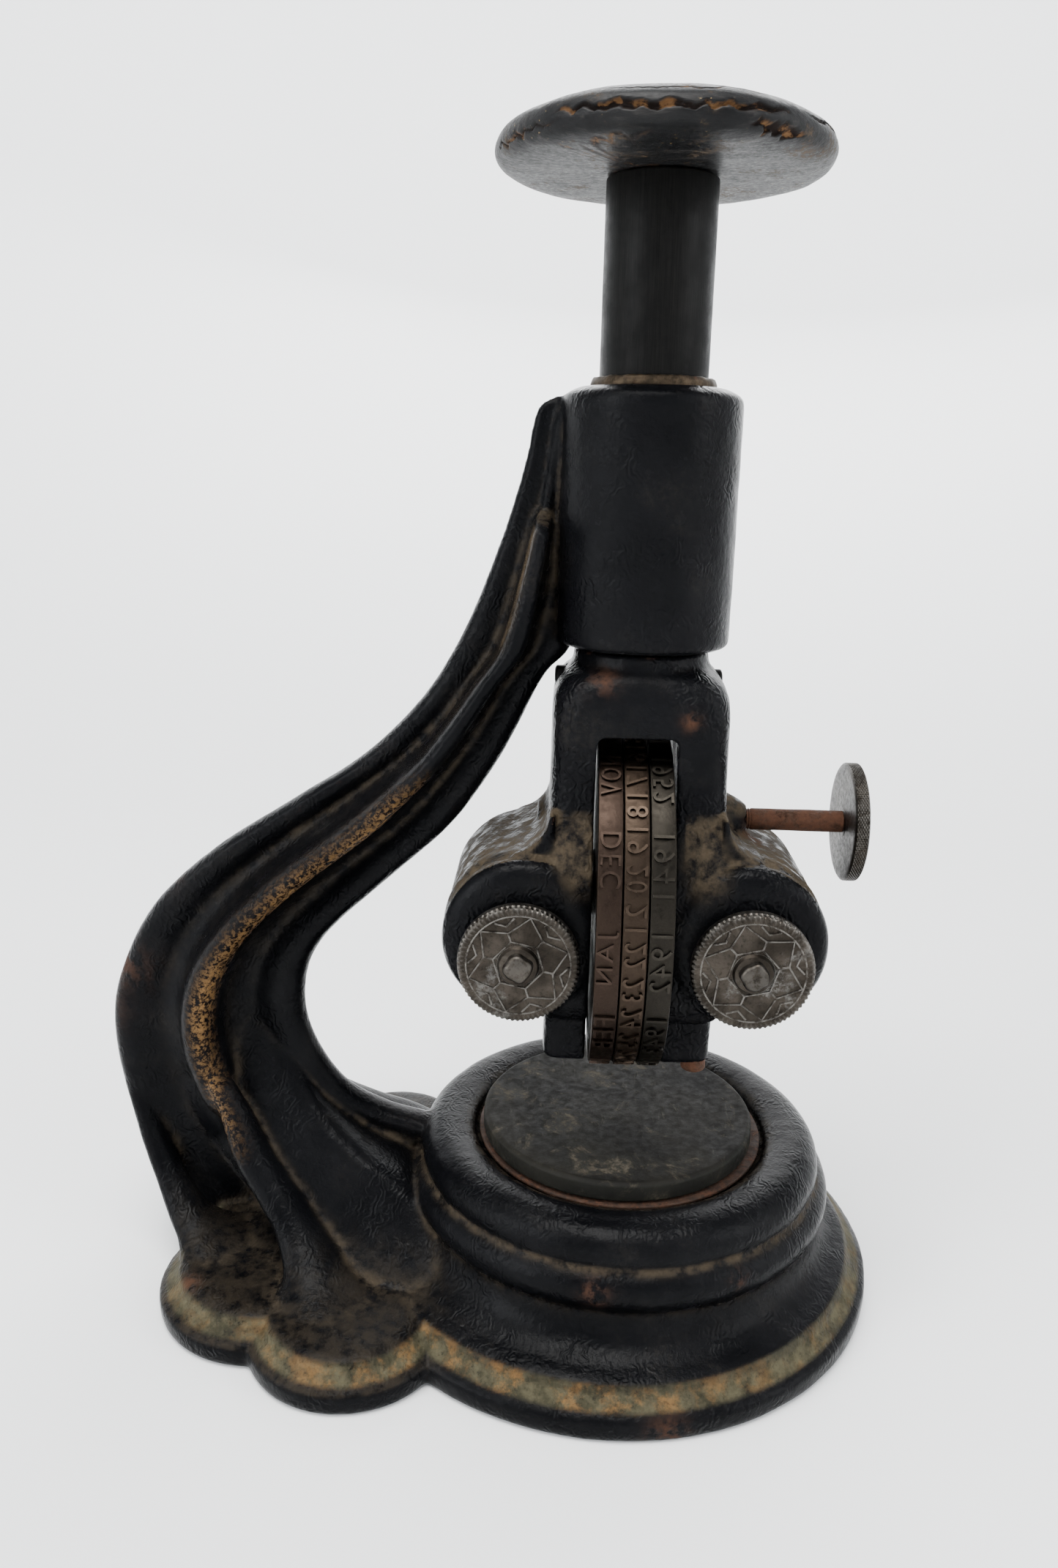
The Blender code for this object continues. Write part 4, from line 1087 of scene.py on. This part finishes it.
def palm_knob(material):
    outline = catmull([(11.0, 221.2), (11.7, 221.3), (14.5, 221.3), (20.5, 221.35), (25.6, 221.6),
                       (28.8, 222.4), (30.15, 224.0), (30.0, 225.8), (28.7, 227.5), (25.2, 229.2),
                       (19.5, 230.9), (12.0, 232.2), (5.0, 232.75),
                       (0.6, 232.8)], 200)
    segments = 560
    angles = 2 * np.pi * np.arange(segments) / segments
    rings = np.stack([np.outer(outline[:, 0], np.cos(angles)), np.outer(outline[:, 0], np.sin(angles)),
                      np.repeat(outline[:, 1:2], segments, axis=1)], 2)
    rows = len(outline)
    groove = np.zeros((rows, segments))
    for crack in KNOB_CRACKS:
        groove = np.maximum(groove, crack_depth(crack, angles, rings[:, :, 2]))
    reach = np.maximum(np.hypot(rings[:, :, 0], rings[:, :, 1]), 1.0)
    inward = 1 - groove / reach * (rings[:, :, 2] < CRACK_LIMIT_Z)
    rings[:, :, 0] *= inward
    rings[:, :, 1] *= inward
    knob = make("palm_knob_skin", loft(rings), 180)
    roughen(knob, (11, 5, 0.22), (3.4, 6, 0.07), KNOB_TOP)
    store(knob.data, crack=np.clip(groove.ravel() / 0.6, 0, 1))
    finish_piece(knob, "plunger", "palm_knob", material)


def small_pins(rusty, dark):
    pin = rounded([(1.2, -16.9), (1.9, -16.6), (1.9, 16.0), (1.2, 16.3)], 0.35, 3)
    plain_piece("head_pin", turned(pin, 48, (0.0, HEAD_PIN_Z), "X"), "plunger", dark)
    die_pin = rounded([(1.9, 50.8), (2.55, 51.2), (2.55, 60.7), (1.0, 60.7)], 0.5, 3)
    plain_piece("die_pin", turned(die_pin, 48, DIE_PIN_AT), "plunger", rusty)


# ---------------------------------------------------------------- knobs, spools and lock

def knurled(radius, low, high, centre, axis, teeth, depth, slant=0.0, face=None):
    """A disc with a finely cut rim. face lists (radius, height) points inward from the outer face's edge."""
    span = high - low
    profile = [(radius - 1.4, low), (radius - 0.5, low + 0.05), (radius - 0.12, low + 0.3)]
    cut_rows = 9
    for k in range(cut_rows):
        profile.append((radius, low + 0.4 + (span - 0.8) * k / (cut_rows - 1)))
    profile += [(radius - 0.12, high - 0.3), (radius - 0.5, high - 0.05), (radius - 1.4, high)]

    def radial(angles, row):
        if not 3 <= row < 3 + cut_rows:
            return 0.0
        wave = np.abs(((angles * teeth / (2 * np.pi) + slant * row) % 1.0) - 0.5) * 2
        return -depth * wave

    if face:
        profile = [(r, low + h) for r, h in reversed(face)] + profile
    return turned(profile, teeth * 6, centre, axis, radial)


def line_relief(name, lines, radius):
    """Thin round ridges along closed or open polylines of 3-D points in millimetres, as one skin."""
    parts = []
    for points, closed in lines:
        curve = bpy.data.curves.new(name, "CURVE")
        curve.dimensions = "3D"
        curve.bevel_depth = radius * MM
        curve.bevel_resolution = 2
        curve.use_fill_caps = True
        spline = curve.splines.new("POLY")
        spline.points.add(len(points) - 1)
        for slot, point in zip(spline.points, points):
            slot.co = (point[0] * MM, point[1] * MM, point[2] * MM, 1.0)
        spline.use_cyclic_u = closed
        mesh = curve_mesh(curve)
        faces = [list(p.vertices) for p in mesh.polygons]
        parts.append((coordinates(mesh), faces))
    return joined(parts)


def rosette(x, face_y, z, phase):
    """A plain six-point geometric star with a hexagon round the hub, as polylines on the knob's face."""
    def spot(radius, angle):
        return (x + radius * math.cos(angle), face_y, z + radius * math.sin(angle))

    sixth = math.pi / 3
    lines = []
    star = []
    for k in range(6):
        star.append(spot(9.7, phase + k * sixth))
        star.append(spot(6.7, phase + (k + 0.5) * sixth))
    lines.append((star, True))
    hexagon = [spot(4.9, phase + (k + 0.5) * sixth) for k in range(6)]
    lines.append((hexagon, True))
    for k in range(6):
        middle = phase + (k + 0.5) * sixth
        lines.append(([spot(4.9, middle), spot(6.7, middle)], False))
        lines.append(([spot(9.5, middle - 0.21), spot(8.1, middle), spot(9.5, middle + 0.21)], False))
    arc = [spot(9.9, phase + 2 * math.pi * k / 72) for k in range(72)]
    lines.append((arc, True))
    ring = [spot(3.9, 2 * math.pi * k / 48) for k in range(48)]
    lines.append((ring, True))
    return lines


def spool_knob(word, side, material):
    """The winding knob: a knurled disc, its star relief and the riveted end of the spindle."""
    x = side * SPOOL_X
    centre = (x, SPOOL_Z)
    low, high = -28.3, -25.4
    dish = [(10.2, 0.0), (9.6, 0.22), (4.5, 0.22), (4.0, 0.0), (3.6, -0.75), (2.9, -1.0)]
    disc = knurled(11.65, low, high, centre, "Y", 72, 0.42, 0.16, dish)
    relief = line_relief("relief", rosette(x, low + 0.16, SPOOL_Z, 0.30 if side < 0 else 0.75), 0.21)
    rivet = rounded([(2.0, low - 2.6), (2.6, low - 2.2), (2.75, low - 1.2), (2.9, low - 0.2),
                     (2.4, low + 0.6)], 0.5, 3)

    def squarish(angles, row):
        return 0.18 * np.cos(4 * angles + side) - 0.06 * np.cos(7 * angles)

    boss = turned(rivet, 64, centre, "Y", squarish)
    knob = make("spool_knob_" + word + "_skin", joined([disc, relief, boss]), 38)
    points = coordinates(knob.data)
    disc_count = len(disc[0])
    relief_count = len(relief[0])
    raised = np.zeros(len(points))
    raised[disc_count:disc_count + relief_count] = 1.0
    raised[disc_count + relief_count:] = 0.30
    radius = np.hypot(points[:, 0] - x * MM, points[:, 2] - SPOOL_Z * MM) / MM
    raised[:disc_count] = np.clip((radius[:disc_count] - 10.9) / 0.5, 0, 0.7)
    store(knob.data, raised=raised)
    finish_piece(knob, "spool_" + word, "spool_knob_" + word, material)


def spool_set(word, side, dark, black, nickel):
    x = side * SPOOL_X
    centre = (x, SPOOL_Z)
    body = "spool_" + word
    spool_knob(word, side, nickel)
    reel = rounded([(2.6, -19.9), (10.9, -19.9), (10.9, -19.1), (3.6, -19.1), (3.6, 13.6), (10.9, 13.6),
                    (10.9, 14.4), (2.6, 14.4)], 0.3, 2)
    reel_skin = make("reel_" + word + "_skin", ring_turned(reel, 96, centre, "Y"))
    finish_piece(reel_skin, body, "spool_" + word, black)
    spindle = rounded([(1.6, -26.5), (2.2, -26.2), (2.2, 17.2), (1.5, 17.6)], 0.4, 3)
    plain_piece("spindle_" + word, turned(spindle, 48, centre, "Y"), body, dark)
    washer = rounded([(2.6, -24.9), (4.9, -24.75), (5.0, -24.45), (2.7, -24.3)], 0.1, 2)
    plain_piece("spring_washer_" + word, ring_turned(washer, 64, centre, "Y"), body, dark)
    nut_profile = [(2.5, 14.7), (4.1, 14.7), (4.35, 15.0), (4.35, 16.3), (4.1, 16.6), (2.5, 16.6)]
    points, faces = ring_turned(nut_profile, 96, centre, "Y")
    local = points / MM - (x, 0.0, SPOOL_Z)
    angle = np.arctan2(local[:, 2], local[:, 0])
    radius = np.hypot(local[:, 0], local[:, 2])
    flat = 3.8 / np.cos((angle + math.pi / 6) % (math.pi / 3) - math.pi / 6)
    shrink = np.where(radius > 3.0, np.minimum(radius, flat) / radius, 1.0)
    local[:, 0] *= shrink
    local[:, 2] *= shrink
    points = (local + (x, 0.0, SPOOL_Z)) * MM
    plain_piece("spindle_nut_" + word, (points, faces), body, dark, 25)


def lock_set(rusty, nickel):
    """The wheel lock: a rusty rod from the right boss to an upright knurled disc."""
    low, high = 42.6, 45.5
    disc = knurled(12.1, low, high, (0.0, LOCK_Z), "X", 78, 0.34, 0.5)
    hub = rounded([(2.6, low - 0.1), (3.4, low - 0.1), (3.4, high + 0.2), (2.0, high + 0.3)], 0.3, 2)
    knob = make("lock_knob_skin", joined([disc, turned(hub, 48, (0.0, LOCK_Z), "X")]), 38)
    points = coordinates(knob.data)
    radius = np.hypot(points[:, 1], points[:, 2] - LOCK_Z * MM) / MM
    store(knob.data, raised=np.clip((radius - 11.85) / 0.25, 0, 1))
    finish_piece(knob, "lock_screw", "lock_knob", nickel)
    profile = [(1.6, 9.3), (2.2, 9.7)]
    for start in np.arange(10.0, 23.6, THREAD_STEP):
        profile += [(2.2, start), (1.95, start + THREAD_STEP / 2)]
    profile += [(2.2, 24.0), (2.22, 27.0), (2.18, 31.0), (2.24, 36.0), (2.2, 42.0), (2.2, 46.1),
                (1.4, 46.6)]
    rod = turned(profile, 64, (0.0, LOCK_Z), "X")
    plain_piece("lock_screw", rod, "lock_screw", rusty, 50)


# ---------------------------------------------------------------- pad, bush and screw

def pad_pieces(rubber, brown):
    """The rubber pad in its recess and the brown ring under it."""
    outline = rounded([(0.6, 31.6), (28.8, 31.6), (29.1, 31.9), (29.1, 35.1), (28.4, 35.8), (24.0, 35.75),
                       (0.6, 35.7)], 0.6, 4)
    rows = [tuple(p) for p in outline]
    dense = []
    for (r0, z0), (r1, z1) in zip(rows, rows[1:]):
        steps = max(1, int(math.hypot(r1 - r0, z1 - z0) / 1.2))
        for t in range(steps):
            dense.append((r0 + (r1 - r0) * t / steps, z0 + (z1 - z0) * t / steps))
    dense.append(rows[-1])
    pad = make("pad_skin", turned(dense, 240, (PAD_X, PAD_Y)), 60)
    points = coordinates(pad.data)
    radius = np.hypot(points[:, 0] - PAD_X * MM, points[:, 1] - PAD_Y * MM) / MM
    wobble = lumps(points, 10, 7) * 0.05 + lumps(points, 3, 8) * 0.02
    points[:, 2] += np.where(points[:, 2] > 0.0352, wobble - 0.05, 0.0) * MM
    points[:, 2] = np.minimum(points[:, 2], PAD_TOP * MM)
    set_coordinates(pad.data, points)
    store(pad.data, edge=np.clip((radius - 28.2) / 0.8, 0, 1))
    finish_piece(pad, "frame", "impression_pad", rubber)
    underlay = rounded([(0.6, 30.25), (30.4, 30.25), (30.65, 30.5), (30.65, 30.95), (30.4, 31.15),
                        (0.6, 31.15)], 0.2, 3)
    skin = make("underlay_skin", turned(underlay, 200))
    finish_piece(skin, "frame", "pad_underlay", brown)


def upper_bush(material):
    profile = rounded([(10.4, 175.2), (11.8, 175.2), (11.8, 186.2), (11.3, 187.2), (10.6, 187.25),
                       (10.4, 186.9)], 0.4, 3)
    bush = make("upper_bush_skin", ring_turned(profile, 160))
    points = coordinates(bush.data)
    top = points[:, 2] > 0.1862
    points[top, 2] -= np.abs(lumps(points[top], 2.2, 9)) * 0.35 * MM
    set_coordinates(bush.data, points)
    finish_piece(bush, "frame", "upper_bush", material)


def guide_screw(material):
    profile = rounded([(1.2, 6.4), (1.2, 8.2), (2.0, 8.2), (2.0, 17.3), (3.4, 17.3), (3.4, 18.5),
                       (2.9, 19.1), (1.0, 19.3)], 0.3, 3)
    screw = make("guide_screw_skin", turned(profile, 64, (0.0, GUIDE_Z), "Y"), 30)
    cut(screw, [block((-5, 18.5, 141.2), (5, 21, 142.0))], 30)
    finish_piece(screw, "frame", "guide_screw", material)


def return_spring(material):
    """The coil under the plunger's shoulder, made at one fixed length; the real coil shortens by the stroke
    as the plunger goes down.
    """
    turns = np.linspace(0, 6, 241)
    bottom, top = SPRING_BOTTOM + SPRING_WIRE, SPRING_TOP - SPRING_WIRE
    line = [(SPRING_R * math.cos(2 * math.pi * t), SPRING_R * math.sin(2 * math.pi * t),
             bottom + (top - bottom) * t / 6) for t in turns]
    coil = make("return_spring_skin", line_relief("coil", [(line, False)], SPRING_WIRE), 60)
    finish_piece(coil, "frame", "return_spring", material)
    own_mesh(coil)


def carried_nodes(materials):
    """CAD nodes that are shown as they are, mostly inside the press, get the same worn materials."""
    for name, key in (("lower_bush", "bush"), ("knob_stud", "steel"),
                      ("wheel_axle", "rusty"), ("lock_shoe", "rusty")):
        node = NODES[name]
        node.data.materials.clear()
        node.data.materials.append(materials[key])


# ---------------------------------------------------------------- stage, light and camera

def stage():
    """A pale floor that curves up into a round wall."""
    profile = [(0.4, FLOOR_Z), (250, FLOOR_Z), (FLOOR_FLAT, FLOOR_Z)]
    for t in np.linspace(0, math.pi / 2, 28)[1:]:
        profile.append((FLOOR_FLAT + FLOOR_BEND * math.sin(t), FLOOR_Z + FLOOR_BEND * (1 - math.cos(t))))
    profile += [(2200, 2600), (2210, 2600), (2210, -8), (0.4, -8)]
    floor = make("stage_floor", ring_turned(profile, 128), 60)
    floor.location.z = 0.00025
    floor.data.materials.append(backdrop_paint())


def area_light(name, place, target, size, power, colour):
    light = bpy.data.lights.new(name, "AREA")
    light.shape = "RECTANGLE"
    light.size = size[0]
    light.size_y = size[1]
    light.energy = power
    light.color = colour
    made = bpy.data.objects.new(name, light)
    made.location = place
    made.rotation_euler = (Vector(target) - Vector(place)).to_track_quat("-Z", "Y").to_euler()
    bpy.context.scene.collection.objects.link(made)


def lights():
    world = bpy.data.worlds.new("soft_light")
    world.use_nodes = True
    sky = world.node_tree.nodes["Background"]
    sky.inputs["Color"].default_value = (0.93, 0.96, 1.0, 1.0)
    sky.inputs["Strength"].default_value = 0.85
    bpy.context.scene.world = world
    middle = (-0.02, 0.0, 0.10)
    area_light("top_softbox", (-0.15, -0.25, 1.25), middle, (0.8, 0.6), 28, (1.0, 0.99, 0.97))
    area_light("left_softbox", (-1.15, -0.75, 0.75), middle, (0.55, 0.9), 17, (0.96, 0.98, 1.0))
    area_light("right_softbox", (1.15, -0.45, 0.65), middle, (0.5, 0.9), 10, (0.98, 0.99, 1.0))
    area_light("wall_softbox", (0.0, 0.9, 1.5), (0.1, 2.2, 1.0), (2.0, 1.2), 52, (1.0, 1.0, 1.0))
    area_light("back_softbox", (0.15, 1.25, 0.9), middle, (1.2, 0.8), 12, (1.0, 1.0, 1.0))


def camera():
    pan, pitch, roll = [math.radians(v) for v in (CAMERA_PAN, CAMERA_PITCH, CAMERA_ROLL)]
    ahead = Vector((-math.sin(pan) * math.cos(pitch), math.cos(pan) * math.cos(pitch), -math.sin(pitch)))
    level = Vector((math.cos(pan), math.sin(pan), 0.0))
    upright = level.cross(ahead)
    right = level * math.cos(roll) + upright * math.sin(roll)
    up = upright * math.cos(roll) - level * math.sin(roll)
    lens = bpy.data.cameras.new("photo_camera")
    lens.sensor_width = 36.0
    lens.lens = CAMERA_LENS
    lens.clip_start = 0.01
    lens.clip_end = 20.0
    made = bpy.data.objects.new("photo_camera", lens)
    turn = Matrix((right, up, -ahead)).transposed().to_4x4()
    made.matrix_world = Matrix.Translation(Vector(CAMERA_AT) * MM) @ turn
    bpy.context.scene.collection.objects.link(made)
    bpy.context.scene.camera = made


def main():
    rusty = plain_metal("rusty_steel", (0.038, 0.021, 0.014), (0.080, 0.048, 0.034), 0.5, 0.8, rust=0.7)
    dark = plain_metal("dark_steel", (0.0016, 0.0016, 0.0016), (0.0060, 0.0057, 0.0052), 0.32, 0.52,
                       streak=(6.0, 6.0, 0.12), metallic=0.0, specular=0.06)
    steel = plain_metal("spring_steel", (0.20, 0.20, 0.20), (0.34, 0.34, 0.35), 0.3, 0.5, rust=0.25)
    bush = plain_metal("bush_bronze", (0.022, 0.017, 0.012), (0.070, 0.052, 0.034), 0.45, 0.75, rust=0.25)
    brown = plain_metal("underlay_brown", (0.012, 0.007, 0.005), (0.042, 0.021, 0.012), 0.6, 0.85,
                        rust=0.35, metallic=0.0)
    black = plain_metal("spool_black", (0.012, 0.012, 0.012), (0.03, 0.03, 0.03), 0.4, 0.6, metallic=0.0)
    frame_casting(japan("black_japan", 0.85, 0.8))
    die_head(japan("head_japan", 1.0, 1.4))
    type_wheels()
    plunger_shaft(dark)
    palm_knob(black_wood())
    small_pins(rusty, dark)
    nickel = knob_metal("worn_nickel")
    spool_set("left", -1, dark, black, nickel)
    spool_set("right", 1, dark, black, nickel)
    lock_set(rusty, nickel)
    pad_pieces(pad_rubber(), brown)
    upper_bush(bush)
    guide_screw(steel)
    return_spring(steel)
    carried_nodes({"bush": bush, "steel": steel, "rusty": rusty})
    stage()
    lights()
    camera()


main()
